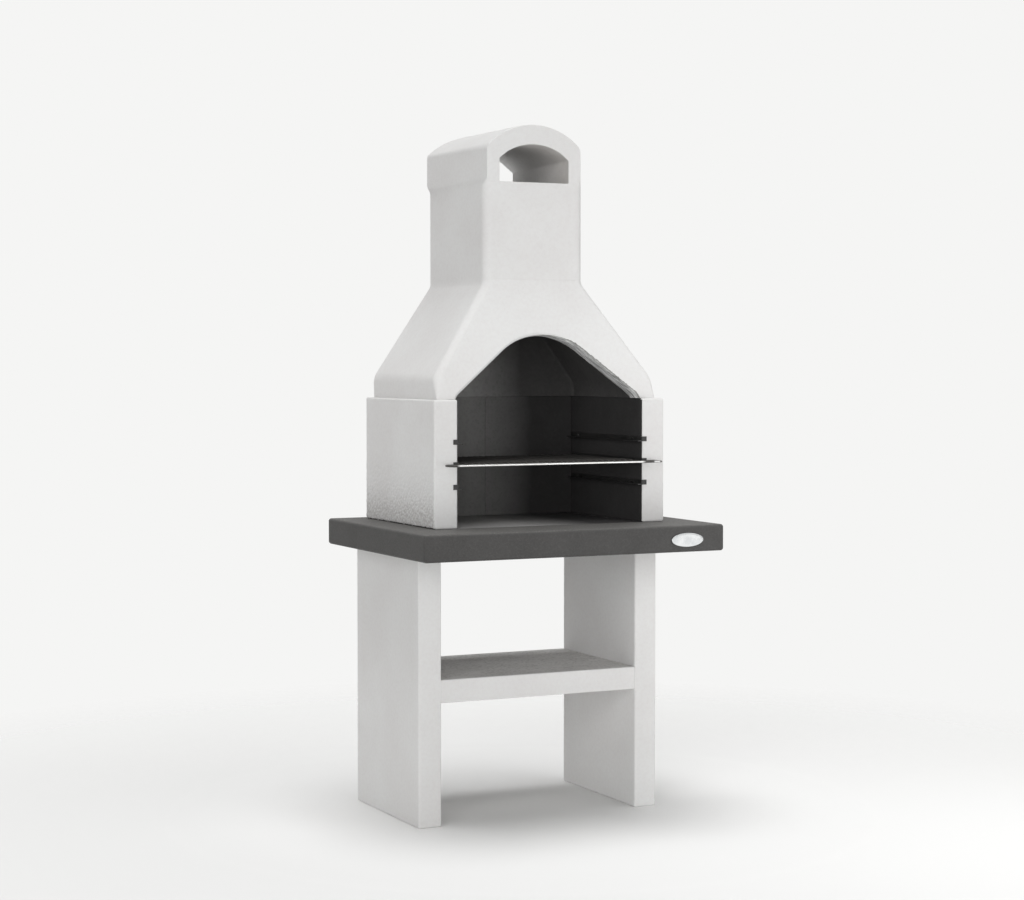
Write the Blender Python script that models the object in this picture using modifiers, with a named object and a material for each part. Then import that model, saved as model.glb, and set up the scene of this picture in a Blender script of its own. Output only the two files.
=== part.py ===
# Outdoor masonry barbecue: cast concrete pieces around a refractory firebox, with a sliding wire grate.
# Metres, +Z up, the open front faces -Y, and the origin is on the floor under the middle of the worktop.

import math

import bmesh
import bpy
from mathutils import Vector

# Fits, and how cutters pass what they open
joint_gap = 0.0003
cut_overrun = 0.010
weld_distance = 0.00001
face_lead = 0.0002

# Smoothness of round stretches, in steps, and the angles that tell an edge from a curve
corner_steps = 4
crown_steps = 10
edge_segments = 2
bevelled_edge_angle = math.radians(40)
flat_edge_angle = math.radians(0.5)
sharp_edge_angle = math.radians(35)
wire_edge_angle = math.radians(50)

# Two slab legs
leg_height = 0.8245
leg_thickness = 0.076
leg_depth = 0.488
leg_span = 0.8165
leg_setback = 0.259
leg_edge = 0.004

# Shelf between the legs, held by a blind tongue at each end
shelf_top_height = 0.4455
shelf_thickness = 0.071
shelf_edge = 0.003
tongue_length = 0.018
tongue_height = 0.036
tongue_inset = 0.060

# Worktop
worktop_width = 1.000
worktop_depth = 0.763
worktop_thickness = 0.081
worktop_edge = 0.008
worktop_edge_segments = 3

# Bare oval plate on the worktop's front edge
badge_width = 0.110
badge_height = 0.042
badge_thickness = 0.003
badge_edge = 0.001
badge_side_inset = 0.131
badge_drop = 0.003
badge_points = 40

# Firebox: two cheeks and a rear wall of concrete, lined with refractory slabs
firebox_width = 0.627
cheek_thickness = 0.076
cheek_depth = 0.531
cheek_height = 0.383
cheek_setback = 0.181
cheek_edge = 0.004
cheek_lip = 0.012
lining_thickness = 0.0217
lining_edge = 0.0015
rear_wall_thickness = 0.036
rear_wall_edge = 0.003
hearth_thickness = 0.0247

# Upright edges of the hood and chimney: round at the front, nearly square at the back and on the cheeks
casting_front_radius = 0.024
casting_back_radius = 0.008

# Hood: a hollow casting with an arched mouth, its front and sides leaning in to the chimney
hood_height = 0.3635
hood_side_inset = 0.0185
hood_front_inset = 0.020
hood_back_inset = 0.016
hood_band_height = 0.0635
hood_band_radius = 0.060
hood_neck_height = 0.012
hood_neck_radius = 0.034
hood_side_wall = 0.055
hood_face_wall = 0.050
hood_throat_start = 0.040
hood_throat_end = 0.045
flue_corner_radius = 0.010

# The mouth's arch in the hood's front
arch_width = 0.620
arch_height = 0.1915
arch_crown_radius = 0.212
arch_haunch_angle = math.radians(38.5)
arch_foot_radius = 0.042
arch_lip_radius = 0.013

# Chimney shaft
chimney_width = 0.338
chimney_depth = 0.413
chimney_height = 0.280
chimney_wall = 0.050

# Vaulted chimney cap, drawn in to the front by its mould's draft, with an arched vent that widens backward.
# Where it is wider than the shaft, its foot slopes in to the shaft's width
cap_front_width = 0.320
cap_back_width = 0.357
cap_height = 0.193
cap_foot_height = 0.027
cap_front_roof_radius = 0.222
cap_back_roof_radius = 0.262
cap_front_shoulder_radius = 0.030
cap_back_shoulder_radius = 0.014
cap_roof_thickness = 0.060
cap_edge = 0.003
vent_front_width = 0.236
vent_back_width = 0.252
vent_arch_radius = 0.180
vent_sill_height = 0.017
cap_flue_inset = 0.008

# Grate rails: folded steel angles in three pairs, each with a tab over its cheek's front
rail_levels = ("lower", "middle", "upper")
rail_first_height = 0.116
rail_spacing = 0.067
rail_height = 0.015
rail_flange = 0.016
rail_sheet = 0.0025
rail_tab = 0.0145
rail_back_clearance = 0.003
grate_level = "middle"

# Rail screws
screw_head_radius = 0.0038
screw_head_height = 0.0022
screw_shank_radius = 0.0020
screw_reach = 0.038
screw_inset = 0.055
screw_sides = 12

# Welded wire grate that slides on the middle rails
grate_wire = 0.006
grate_cross_wire = 0.005
grate_rod = 0.004
grate_rod_count = 29
grate_side_clearance = 0.0083
grate_depth = 0.477
grate_front_reach = 0.050
grate_ear_reach = 0.0455
grate_stop_gap = 0.001
grate_turn_radius = 0.005
grate_corner_radius = 0.015
grate_weld_depth = 0.0012
grate_rod_margin = 0.020
grate_bar_setback = 0.012
grate_rod_overhang = 0.002
rod_sides = 6
bar_sides = 8

# Faces and levels that the pieces share
worktop_front = -worktop_depth / 2
worktop_bottom = leg_height + joint_gap
worktop_top = worktop_bottom + worktop_thickness
leg_front = worktop_front + leg_setback
leg_back = leg_front + leg_depth
leg_outer = leg_span / 2
leg_inner = leg_outer - leg_thickness
cheek_front = worktop_front + cheek_setback
cheek_back = cheek_front + cheek_depth
cheek_inner = firebox_width / 2
cheek_outer = cheek_inner + cheek_thickness
cheek_bottom = worktop_top + joint_gap
cheek_top = cheek_bottom + cheek_height
rebate_face = cheek_inner + lining_thickness + joint_gap
rear_wall_face = cheek_back - rear_wall_thickness
rear_lining_face = rear_wall_face - joint_gap - lining_thickness
hearth_front = cheek_front + cheek_lip
hood_bottom = cheek_top + joint_gap
hood_top = hood_bottom + hood_height
hood_half = cheek_outer - hood_side_inset
hood_front = cheek_front + hood_front_inset
hood_back = cheek_back - hood_back_inset
chimney_half = chimney_width / 2
chimney_back = cheek_back
chimney_front = chimney_back - chimney_depth
flue_half = chimney_half - chimney_wall
flue_front = chimney_front + chimney_wall
flue_back = chimney_back - chimney_wall
shaft_bottom = hood_top + joint_gap
shaft_top = shaft_bottom + chimney_height
cap_bottom = shaft_top + joint_gap
cap_crown = cap_bottom + cap_height
cap_sill = cap_bottom + vent_sill_height
vent_centre = cap_crown - cap_roof_thickness - vent_arch_radius
rail_face = cheek_inner - joint_gap
screw_places = (cheek_front + screw_inset, rear_lining_face - screw_inset)
grate_bed = cheek_bottom + rail_first_height + rail_levels.index(grate_level) * rail_spacing + rail_sheet
grate_height = grate_bed + joint_gap + grate_wire / 2
grate_side = rail_face - rail_sheet - grate_side_clearance
grate_ear = cheek_inner + grate_ear_reach
grate_front = cheek_front - grate_front_reach
grate_back = grate_front + grate_depth
ear_line = cheek_front - joint_gap - rail_sheet - grate_stop_gap - grate_wire / 2


def clear_scene():
    for obj in list(bpy.data.objects):
        bpy.data.objects.remove(obj, do_unlink=True)


def make_collection(name):
    collection = bpy.data.collections.new(name)
    bpy.context.scene.collection.children.link(collection)
    return collection


def make_material(name, color, roughness, metallic=0.0):
    material = bpy.data.materials.new(name)
    material.use_nodes = True
    shader = material.node_tree.nodes["Principled BSDF"]
    shader.inputs["Base Color"].default_value = (*color, 1.0)
    shader.inputs["Roughness"].default_value = roughness
    shader.inputs["Metallic"].default_value = metallic
    return material


clear_scene()
parts = make_collection("masonry_barbecue")
cutters = make_collection("cutters")


def add_object(name, mesh, material):
    obj = bpy.data.objects.new(name, mesh)
    if material is None:
        cutters.objects.link(obj)
        obj.hide_render = True
        obj.display_type = "WIRE"
    else:
        # Each piece gets its own copy, so that its finish can be changed alone
        own = material.copy()
        own.name = name + "_finish"
        mesh.materials.append(own)
        parts.objects.link(obj)
    return obj


def mesh_from(bm, name):
    mesh = bpy.data.meshes.new(name)
    bm.to_mesh(mesh)
    bm.free()
    return mesh


def bevel(obj, width, segments=edge_segments):
    modifier = obj.modifiers.new("edge", "BEVEL")
    modifier.width = width
    modifier.segments = segments
    modifier.limit_method = "ANGLE"
    modifier.angle_limit = bevelled_edge_angle
    modifier.harden_normals = False
    return modifier


def boolean(obj, other, operation):
    modifier = obj.modifiers.new(operation.lower(), "BOOLEAN")
    modifier.operation = operation
    modifier.solver = "EXACT"
    modifier.object = other
    return modifier


def cut(obj, cutter):
    return boolean(obj, cutter, "DIFFERENCE")


def join(obj, other):
    return boolean(obj, other, "UNION")


def smooth_round_faces(mesh, angle=sharp_edge_angle):
    mesh.shade_smooth()
    mesh.set_sharp_from_angle(angle=angle)


def box(name, low, high, material=None, edge=0.0, segments=edge_segments):
    low, high = Vector(low), Vector(high)
    bm = bmesh.new()
    bmesh.ops.create_cube(bm, size=1)
    bmesh.ops.scale(bm, vec=high - low, verts=bm.verts)
    obj = add_object(name, mesh_from(bm, name), material)
    obj.location = (low + high) / 2
    if edge > 0:
        bevel(obj, edge, segments)
    return obj


def rod_mesh(bm, start, end, radius, sides):
    start, end = Vector(start), Vector(end)
    run = end - start
    turn = run.to_track_quat("Z", "Y").to_matrix().to_4x4()
    turn.translation = (start + end) / 2
    bmesh.ops.create_cone(bm, cap_ends=True, segments=sides, radius1=radius, radius2=radius,
                          depth=run.length, matrix=turn)


def cylinder(name, start, end, radius, sides, material=None):
    bm = bmesh.new()
    rod_mesh(bm, start, end, radius, sides)
    return add_object(name, mesh_from(bm, name), material)


def curve_to_mesh(curve_object, name, material):
    bpy.context.view_layer.update()
    depsgraph = bpy.context.evaluated_depsgraph_get()
    mesh = bpy.data.meshes.new_from_object(curve_object.evaluated_get(depsgraph))
    mesh.name = name
    mesh.materials.clear()
    bm = bmesh.new()
    bm.from_mesh(mesh)
    bmesh.ops.remove_doubles(bm, verts=bm.verts, dist=weld_distance)
    bmesh.ops.dissolve_limit(bm, angle_limit=flat_edge_angle, verts=bm.verts, edges=bm.edges)
    bmesh.ops.recalc_face_normals(bm, faces=bm.faces)
    bm.to_mesh(mesh)
    bm.free()
    obj = add_object(name, mesh, material)
    obj.matrix_world = curve_object.matrix_world
    curve = curve_object.data
    bpy.data.objects.remove(curve_object)
    bpy.data.curves.remove(curve)
    return obj


def prism(name, outline, front, back, material=None):
    # A flat outline in X and Z, extruded along Y from front to back
    curve = bpy.data.curves.new(name + "_outline", "CURVE")
    curve.dimensions = "2D"
    curve.fill_mode = "BOTH"
    curve.extrude = (back - front) / 2
    spline = curve.splines.new("POLY")
    spline.points.add(len(outline) - 1)
    for point, (x, z) in zip(spline.points, outline):
        point.co = (x, z, 0, 1)
    spline.use_cyclic_u = True
    obj = bpy.data.objects.new(name + "_outline", curve)
    cutters.objects.link(obj)
    obj.rotation_euler = (math.pi / 2, 0, 0)
    obj.location = (0, (front + back) / 2, 0)
    return curve_to_mesh(obj, name, material)


def wire_loop(name, path, height, diameter, material=None):
    # A closed bent wire that lies flat at the given height
    curve = bpy.data.curves.new(name + "_path", "CURVE")
    curve.dimensions = "3D"
    curve.bevel_depth = diameter / 2
    curve.bevel_resolution = 2
    curve.use_fill_caps = True
    spline = curve.splines.new("POLY")
    spline.points.add(len(path) - 1)
    for point, (x, y) in zip(spline.points, path):
        point.co = (x, y, 0, 1)
    spline.use_cyclic_u = True
    obj = bpy.data.objects.new(name + "_path", curve)
    cutters.objects.link(obj)
    obj.location = (0, 0, height)
    return curve_to_mesh(obj, name, material)


def arc(centre, radius, start, end, steps):
    return [(centre[0] + radius * math.cos(start + (end - start) * i / steps),
             centre[1] + radius * math.sin(start + (end - start) * i / steps)) for i in range(steps + 1)]


def rounded(corners, radii, steps, closed=False):
    # A path through corner points, each corner replaced by an arc of its own radius
    path = []
    count = len(corners)
    for i, radius in enumerate(radii):
        corner = Vector(corners[i])
        at_end = not closed and i in (0, count - 1)
        if radius == 0 or at_end:
            path.append(tuple(corner))
            continue
        before = (Vector(corners[i - 1]) - corner).normalized()
        after = (Vector(corners[(i + 1) % count]) - corner).normalized()
        half = before.angle(after) / 2
        centre = corner + (before + after).normalized() * (radius / math.sin(half))
        first = corner + before * (radius / math.tan(half)) - centre
        last = corner + after * (radius / math.tan(half)) - centre
        start = math.atan2(first.y, first.x)
        sweep = (math.atan2(last.y, last.x) - start + math.pi) % (2 * math.pi) - math.pi
        path.extend(arc(centre, radius, start, start + sweep, steps))
    return path


def mirrored(half_outline):
    # The outline's right half, bottom to top, followed by its mirror image
    return half_outline + [(-x, z) for x, z in reversed(half_outline) if x > 0]


def rounded_ring(half, front, back, front_radius, back_radius, height):
    corners = ((half, front), (half, back), (-half, back), (-half, front))
    radii = (front_radius, back_radius, back_radius, front_radius)
    return [Vector((x, y, height)) for x, y in rounded(corners, radii, corner_steps, closed=True)]


def skin_rings(bm, rings, closed):
    layers = [[bm.verts.new(point) for point in ring] for ring in rings]
    follow = layers[1:] + layers[:1] if closed else layers[1:]
    for ring, after in zip(layers, follow):
        for i in range(len(ring)):
            j = (i + 1) % len(ring)
            bm.faces.new((ring[i], ring[j], after[j], after[i]))
    return layers


def shell_of_rings(name, rings, material):
    # Rings up the outside and back down the inside make one open-ended hollow shell
    bm = bmesh.new()
    skin_rings(bm, rings, closed=True)
    bmesh.ops.recalc_face_normals(bm, faces=bm.faces)
    mesh = mesh_from(bm, name)
    smooth_round_faces(mesh)
    return add_object(name, mesh, material)


def solid_of_rings(name, rings, material=None):
    bm = bmesh.new()
    layers = skin_rings(bm, rings, closed=False)
    bm.faces.new(layers[0])
    bm.faces.new(layers[-1])
    bmesh.ops.recalc_face_normals(bm, faces=bm.faces)
    return add_object(name, mesh_from(bm, name), material)


def both_sides(low_x, high_x, side):
    # The X range of a piece on the left (side -1) or the right (side 1)
    return (low_x, high_x) if side > 0 else (-high_x, -low_x)


def build_legs(material):
    for side, name in ((-1, "left_leg"), (1, "right_leg")):
        low, high = both_sides(leg_inner, leg_outer, side)
        leg = box(name, (low, leg_front, 0), (high, leg_back, leg_height), material, leg_edge)
        low, high = both_sides(leg_inner - cut_overrun, leg_inner + tongue_length + joint_gap, side)
        middle = shelf_top_height - shelf_thickness / 2
        reach = tongue_height / 2 + joint_gap
        socket = box(name + "_socket",
                     (low, leg_front + tongue_inset - joint_gap, middle - reach),
                     (high, leg_back - tongue_inset + joint_gap, middle + reach))
        cut(leg, socket)


def build_shelf(material):
    half = leg_inner - joint_gap
    bottom = shelf_top_height - shelf_thickness
    shelf = box("shelf", (-half, leg_front, bottom), (half, leg_back, shelf_top_height),
                material, shelf_edge)
    middle = bottom + shelf_thickness / 2
    for side, name in ((-1, "left_tongue"), (1, "right_tongue")):
        low, high = both_sides(half - cut_overrun, half + tongue_length, side)
        tongue = box(name,
                     (low, leg_front + tongue_inset, middle - tongue_height / 2),
                     (high, leg_back - tongue_inset, middle + tongue_height / 2))
        join(shelf, tongue)


def build_worktop(material):
    half = worktop_width / 2
    worktop = box("worktop", (-half, worktop_front, worktop_bottom), (half, -worktop_front, worktop_top),
                  material, worktop_edge, worktop_edge_segments)
    pocket = box("hearth_pocket",
                 (-cheek_inner, hearth_front, worktop_top - hearth_thickness - joint_gap),
                 (cheek_inner, rear_lining_face, worktop_top + cut_overrun))
    cut(worktop, pocket)


def build_hearth(material):
    for side, name in ((-1, "hearth_slab_left"), (1, "hearth_slab_right")):
        low, high = both_sides(joint_gap / 2, cheek_inner - joint_gap, side)
        box(name, (low, hearth_front + joint_gap, worktop_top - hearth_thickness),
            (high, rear_lining_face - joint_gap, worktop_top), material, lining_edge, 1)


def build_badge(material):
    outline = [(badge_width / 2 * math.cos(turn), badge_height / 2 * math.sin(turn))
               for turn in (2 * math.pi * i / badge_points for i in range(badge_points))]
    back = worktop_front - joint_gap
    badge = prism("badge_plate", outline, back - badge_thickness, back, material)
    badge.location.x = worktop_width / 2 - badge_side_inset
    badge.location.z = worktop_bottom + worktop_thickness / 2 - badge_drop
    bevel(badge, badge_edge)
    smooth_round_faces(badge.data)


def rail_bottoms():
    for i, level in enumerate(rail_levels):
        yield level, cheek_bottom + rail_first_height + i * rail_spacing


def rail_holes(obj, name, side):
    # Clearance holes for the screws of all three rails on one side
    for level, bottom in rail_bottoms():
        for i, y in enumerate(screw_places):
            middle = bottom + rail_height / 2
            inside = side * (cheek_inner - rail_sheet - cut_overrun)
            outside = side * (rail_face + screw_reach)
            hole = cylinder(f"{name}_{level}_hole_{i + 1}", (inside, y, middle), (outside, y, middle),
                            screw_shank_radius + joint_gap, screw_sides)
            cut(obj, hole)


def build_cheeks(material):
    for side, name in ((-1, "left_cheek"), (1, "right_cheek")):
        low, high = both_sides(cheek_inner, cheek_outer, side)
        cheek = box(name, (low, cheek_front, cheek_bottom), (high, cheek_back, cheek_top),
                    material, cheek_edge)
        low, high = both_sides(cheek_inner - cut_overrun, rebate_face, side)
        rebate = box(name + "_rebate",
                     (low, hearth_front, cheek_bottom - cut_overrun),
                     (high, cheek_back + cut_overrun, cheek_top + cut_overrun))
        cut(cheek, rebate)
        rail_holes(cheek, name, side)


def build_rear_wall(material):
    half = rebate_face - joint_gap
    box("rear_wall", (-half, rear_wall_face, cheek_bottom), (half, cheek_back, cheek_top),
        material, rear_wall_edge)


def build_linings(material):
    for side, name in ((-1, "lining_left"), (1, "lining_right")):
        low, high = both_sides(cheek_inner, cheek_inner + lining_thickness, side)
        lining = box(name, (low, hearth_front + joint_gap, cheek_bottom),
                     (high, rear_wall_face - joint_gap, cheek_top), material, lining_edge, 1)
        rail_holes(lining, name, side)
    for side, name in ((-1, "rear_lining_left"), (1, "rear_lining_right")):
        low, high = both_sides(joint_gap / 2, cheek_inner - joint_gap, side)
        back = rear_lining_face + lining_thickness
        box(name, (low, rear_lining_face, cheek_bottom), (high, back, cheek_top), material, lining_edge, 1)


def along_hood(height, at_bottom, at_top):
    # A size that changes evenly from the hood's bottom to the chimney
    return at_bottom + (at_top - at_bottom) * (height - hood_bottom) / hood_height


def hood_face(height):
    # Where the leaning front face is at a height
    return along_hood(height, hood_front, chimney_front)


def hood_back_face(height):
    return along_hood(height, hood_back, chimney_back)


def hood_ring(half, height):
    # The front edges start nearly square on the cheeks and are round from the top of the upright band
    rise = min(1, (height - hood_bottom) / hood_band_height)
    front_radius = casting_back_radius + (casting_front_radius - casting_back_radius) * rise
    return rounded_ring(half, hood_face(height), hood_back_face(height),
                        front_radius, casting_back_radius, height)


def hood_flue_ring(half, height):
    front = hood_face(height) + hood_face_wall
    back = hood_back_face(height) - hood_face_wall
    return rounded_ring(half, front, back, flue_corner_radius, flue_corner_radius, height)


def arch_half(grow):
    # The right half of the mouth, foot to crown, moved outward by grow
    centre = hood_bottom + arch_height - arch_crown_radius
    crown = arch_crown_radius + grow
    foot = arch_foot_radius + grow
    jamb = arch_width / 2
    foot_x = jamb - arch_foot_radius
    lean, rise = math.sin(arch_haunch_angle), math.cos(arch_haunch_angle)
    foot_z = centre + (arch_crown_radius - arch_foot_radius - lean * foot_x) / rise
    start = math.pi / 2 - arch_haunch_angle
    outline = [(jamb + grow, hood_bottom - foot)]
    outline += arc((foot_x, foot_z), foot, 0, start, corner_steps)
    outline += arc((0, centre), crown, start, math.pi / 2, crown_steps)[:-1]
    outline.append((0, centre + crown))
    return outline


def build_mouth_cutter():
    # The mouth runs straight back through the hood's front, with a rounded lip that follows the leaning face
    stages = [(-cut_overrun, arch_lip_radius), (-face_lead, arch_lip_radius)]
    for i in range(1, corner_steps + 1):
        turn = math.pi / 2 * i / corner_steps
        stages.append((arch_lip_radius * (1 - math.cos(turn)), arch_lip_radius * (1 - math.sin(turn))))
    stages.append((hood_face_wall + cut_overrun, 0))
    rings = []
    for depth, grow in stages:
        outline = mirrored(arch_half(grow))
        rings.append([Vector((x, hood_face(z) + depth, z)) for x, z in outline])
    return solid_of_rings("mouth", rings)


def build_hood(material):
    band = hood_bottom + hood_band_height
    neck = hood_top - hood_neck_height
    side_corners = ((hood_half, hood_bottom), (hood_half, band),
                    (chimney_half, neck), (chimney_half, hood_top))
    side_profile = rounded(side_corners, (0, hood_band_radius, hood_neck_radius, 0), corner_steps)
    inner_half = hood_half - hood_side_wall
    inner_corners = ((flue_half, hood_top), (flue_half, hood_top - hood_throat_end),
                     (inner_half, hood_bottom + hood_throat_start), (inner_half, hood_bottom))
    inner_profile = rounded(inner_corners, (0, hood_neck_radius, hood_band_radius, 0), corner_steps)
    rings = [hood_ring(x, z) for x, z in side_profile]
    rings += [hood_flue_ring(x, z) for x, z in inner_profile]
    hood = shell_of_rings("hood", rings, material)
    cut(hood, build_mouth_cutter())


def build_shaft(material):
    ends = (shaft_bottom, shaft_top)
    outside = [rounded_ring(chimney_half, chimney_front, chimney_back,
                            casting_front_radius, casting_back_radius, z)
               for z in ends]
    inside = [rounded_ring(flue_half, flue_front, flue_back, flue_corner_radius, flue_corner_radius, z)
              for z in reversed(ends)]
    shell_of_rings("chimney_shaft", outside + inside, material)


def cap_ring(width, roof_radius, shoulder_radius, y):
    # The cap's outline at one end: a sloping foot, upright sides, a soft shoulder and a vaulted roof
    half = width / 2
    centre = cap_crown - roof_radius
    shoulder_x = half - shoulder_radius
    shoulder_z = centre + math.sqrt((roof_radius - shoulder_radius) ** 2 - shoulder_x ** 2)
    turn = math.atan2(shoulder_z - centre, shoulder_x)
    outline = [(min(half, chimney_half), cap_bottom), (half, cap_bottom + cap_foot_height)]
    outline += arc((shoulder_x, shoulder_z), shoulder_radius, 0, turn, corner_steps)
    outline += arc((0, centre), roof_radius, turn, math.pi / 2, crown_steps)[1:-1]
    outline.append((0, cap_crown))
    return [Vector((x, y, z)) for x, z in mirrored(outline)]


def vent_ring(y):
    # The vent's outline at one depth: upright sides under an arch
    share = (y - chimney_front) / chimney_depth
    half = (vent_front_width + (vent_back_width - vent_front_width) * share) / 2
    spring = math.acos(half / vent_arch_radius)
    outline = [(half, cap_sill)]
    outline += arc((0, vent_centre), vent_arch_radius, spring, math.pi / 2, crown_steps)[:-1]
    outline.append((0, vent_centre + vent_arch_radius))
    return [Vector((x, y, z)) for x, z in mirrored(outline)]


def build_cap(material):
    front_end = cap_ring(cap_front_width, cap_front_roof_radius, cap_front_shoulder_radius, chimney_front)
    back_end = cap_ring(cap_back_width, cap_back_roof_radius, cap_back_shoulder_radius, chimney_back)
    cap = solid_of_rings("chimney_cap", [front_end, back_end], material)
    bevel(cap, cap_edge)
    vent_ends = [vent_ring(chimney_front - cut_overrun), vent_ring(chimney_back + cut_overrun)]
    cut(cap, solid_of_rings("vent_tunnel", vent_ends))
    hole_half = vent_front_width / 2 - cap_flue_inset
    hole = box("cap_flue", (-hole_half, flue_front, cap_bottom - cut_overrun),
               (hole_half, flue_back, cap_sill + cut_overrun))
    cut(cap, hole)


def build_rail(name, side, bottom, material):
    # A vertical leg on the lining, a flange that carries the grate and a tab turned over the cheek's front
    front = cheek_front - joint_gap
    back = rear_lining_face - rail_back_clearance
    bm = bmesh.new()
    top = bottom + rail_height
    corners = [bm.verts.new((side * rail_face, y, z))
               for y, z in ((front, bottom), (back, bottom), (back, top), (front, top))]
    leg = bm.faces.new(corners if side > 0 else corners[::-1])
    for edge in list(leg.edges):
        points = [vert.co for vert in edge.verts]
        along_bottom = all(abs(point.z - bottom) < weld_distance for point in points)
        along_front = all(abs(point.y - front) < weld_distance for point in points)
        if along_bottom or along_front:
            grown = bmesh.ops.extrude_edge_only(bm, edges=[edge])["geom"]
            shift = -side * rail_flange if along_bottom else side * rail_tab
            moved = [item for item in grown if isinstance(item, bmesh.types.BMVert)]
            bmesh.ops.translate(bm, vec=(shift, 0, 0), verts=moved)
    bmesh.ops.recalc_face_normals(bm, faces=bm.faces)
    leg.normal_update()
    if leg.normal.x * side > 0:
        bmesh.ops.reverse_faces(bm, faces=bm.faces)
    rail = add_object(name, mesh_from(bm, name), material)
    thickness = rail.modifiers.new("sheet", "SOLIDIFY")
    thickness.thickness = rail_sheet
    thickness.offset = 1
    thickness.use_even_offset = True
    for i, y in enumerate(screw_places):
        middle = bottom + rail_height / 2
        hole = cylinder(f"{name}_hole_{i + 1}", (side * (rail_face + cut_overrun), y, middle),
                        (side * (rail_face - rail_sheet - cut_overrun), y, middle),
                        screw_shank_radius + joint_gap, screw_sides)
        cut(rail, hole)


def build_screw(name, side, y, z, material):
    # A turned pan head and shank, its axis across the firebox
    under_head = joint_gap
    head_top = under_head + screw_head_height
    point_start = screw_shank_radius - screw_reach
    profile = ((0, head_top), (screw_head_radius / 2, head_top),
               (screw_head_radius, under_head + screw_head_height / 2), (screw_head_radius, under_head),
               (screw_shank_radius, under_head), (screw_shank_radius, point_start), (0, -screw_reach))
    bm = bmesh.new()
    verts = [bm.verts.new((x, 0, height)) for x, height in profile]
    for start, end in zip(verts, verts[1:]):
        bm.edges.new((start, end))
    screw = add_object(name, mesh_from(bm, name), material)
    turned = screw.modifiers.new("turned", "SCREW")
    turned.steps = screw_sides
    turned.render_steps = screw_sides
    turned.use_merge_vertices = True
    turned.merge_threshold = weld_distance
    turned.use_smooth_shade = True
    screw.rotation_euler = (0, -side * math.pi / 2, 0)
    screw.location = (side * (rail_face - rail_sheet), y, z)


def build_rails(rail_material, screw_material):
    for side, hand in ((-1, "left"), (1, "right")):
        for level, bottom in rail_bottoms():
            build_rail(f"rail_{hand}_{level}", side, bottom, rail_material)
            middle = bottom + rail_height / 2
            for i, y in enumerate(screw_places):
                build_screw(f"rail_screw_{hand}_{level}_{i + 1}", side, y, middle, screw_material)


def build_grate(material):
    # Frame wire: the sides run on the rails and the front loops out past both cheeks as a handle
    corners = ((grate_side, grate_back), (grate_side, ear_line),
               (grate_ear, ear_line), (grate_ear, grate_front))
    radii = (grate_corner_radius, grate_turn_radius, grate_corner_radius, grate_corner_radius)
    corners += tuple((-x, y) for x, y in reversed(corners))
    radii += tuple(reversed(radii))
    local = [(x, y - grate_front) for x, y in rounded(corners, radii, corner_steps, closed=True)]
    grate = wire_loop("grate", local, 0, grate_wire, material)
    smooth_round_faces(grate.data, wire_edge_angle)

    first_bar = cheek_front + grate_bar_setback
    bars = bmesh.new()
    for y in (first_bar, (first_bar + grate_back) / 2):
        place = y - grate_front
        rod_mesh(bars, (-grate_side, place, 0), (grate_side, place, 0), grate_cross_wire / 2, bar_sides)
    cross_bars = add_object("cross_bars", mesh_from(bars, "cross_bars"), None)

    rods = bmesh.new()
    spread = grate_side - grate_rod_margin
    lift = (grate_wire + grate_rod) / 2 - grate_weld_depth
    start = first_bar - grate_front - grate_rod_overhang
    end = grate_back - grate_front + grate_rod_overhang
    for i in range(grate_rod_count):
        x = -spread + 2 * spread * i / (grate_rod_count - 1)
        rod_mesh(rods, (x, start, lift), (x, end, lift), grate_rod / 2, rod_sides)
    rod_row = add_object("rod_row", mesh_from(rods, "rod_row"), None)

    # The slide runs along Y through the middle of the front bar
    slide = bpy.data.objects.new("grate_slide", None)
    slide.location = (0, grate_front, grate_height)
    cutters.objects.link(slide)
    for obj in (grate, cross_bars, rod_row):
        obj.parent = slide
    join(grate, cross_bars)
    join(grate, rod_row)


def build_all():
    white = make_material("white_concrete", (0.80, 0.80, 0.79), 0.85)
    grey = make_material("grey_worktop_concrete", (0.11, 0.108, 0.103), 0.70)
    refractory = make_material("dark_refractory", (0.055, 0.053, 0.050), 0.90)
    black_steel = make_material("black_steel", (0.030, 0.030, 0.030), 0.50, 0.6)
    zinc = make_material("zinc_plated_steel", (0.45, 0.45, 0.44), 0.35, 1.0)
    chrome = make_material("chromed_wire", (0.70, 0.70, 0.70), 0.15, 1.0)
    silver = make_material("silver_badge", (0.66, 0.66, 0.66), 0.30, 0.9)
    build_legs(white)
    build_shelf(white)
    build_worktop(grey)
    build_badge(silver)
    build_hearth(refractory)
    build_cheeks(white)
    build_rear_wall(white)
    build_linings(refractory)
    build_hood(white)
    build_shaft(white)
    build_cap(white)
    build_rails(black_steel, zinc)
    build_grate(chrome)


build_all()
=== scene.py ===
import math

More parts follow.
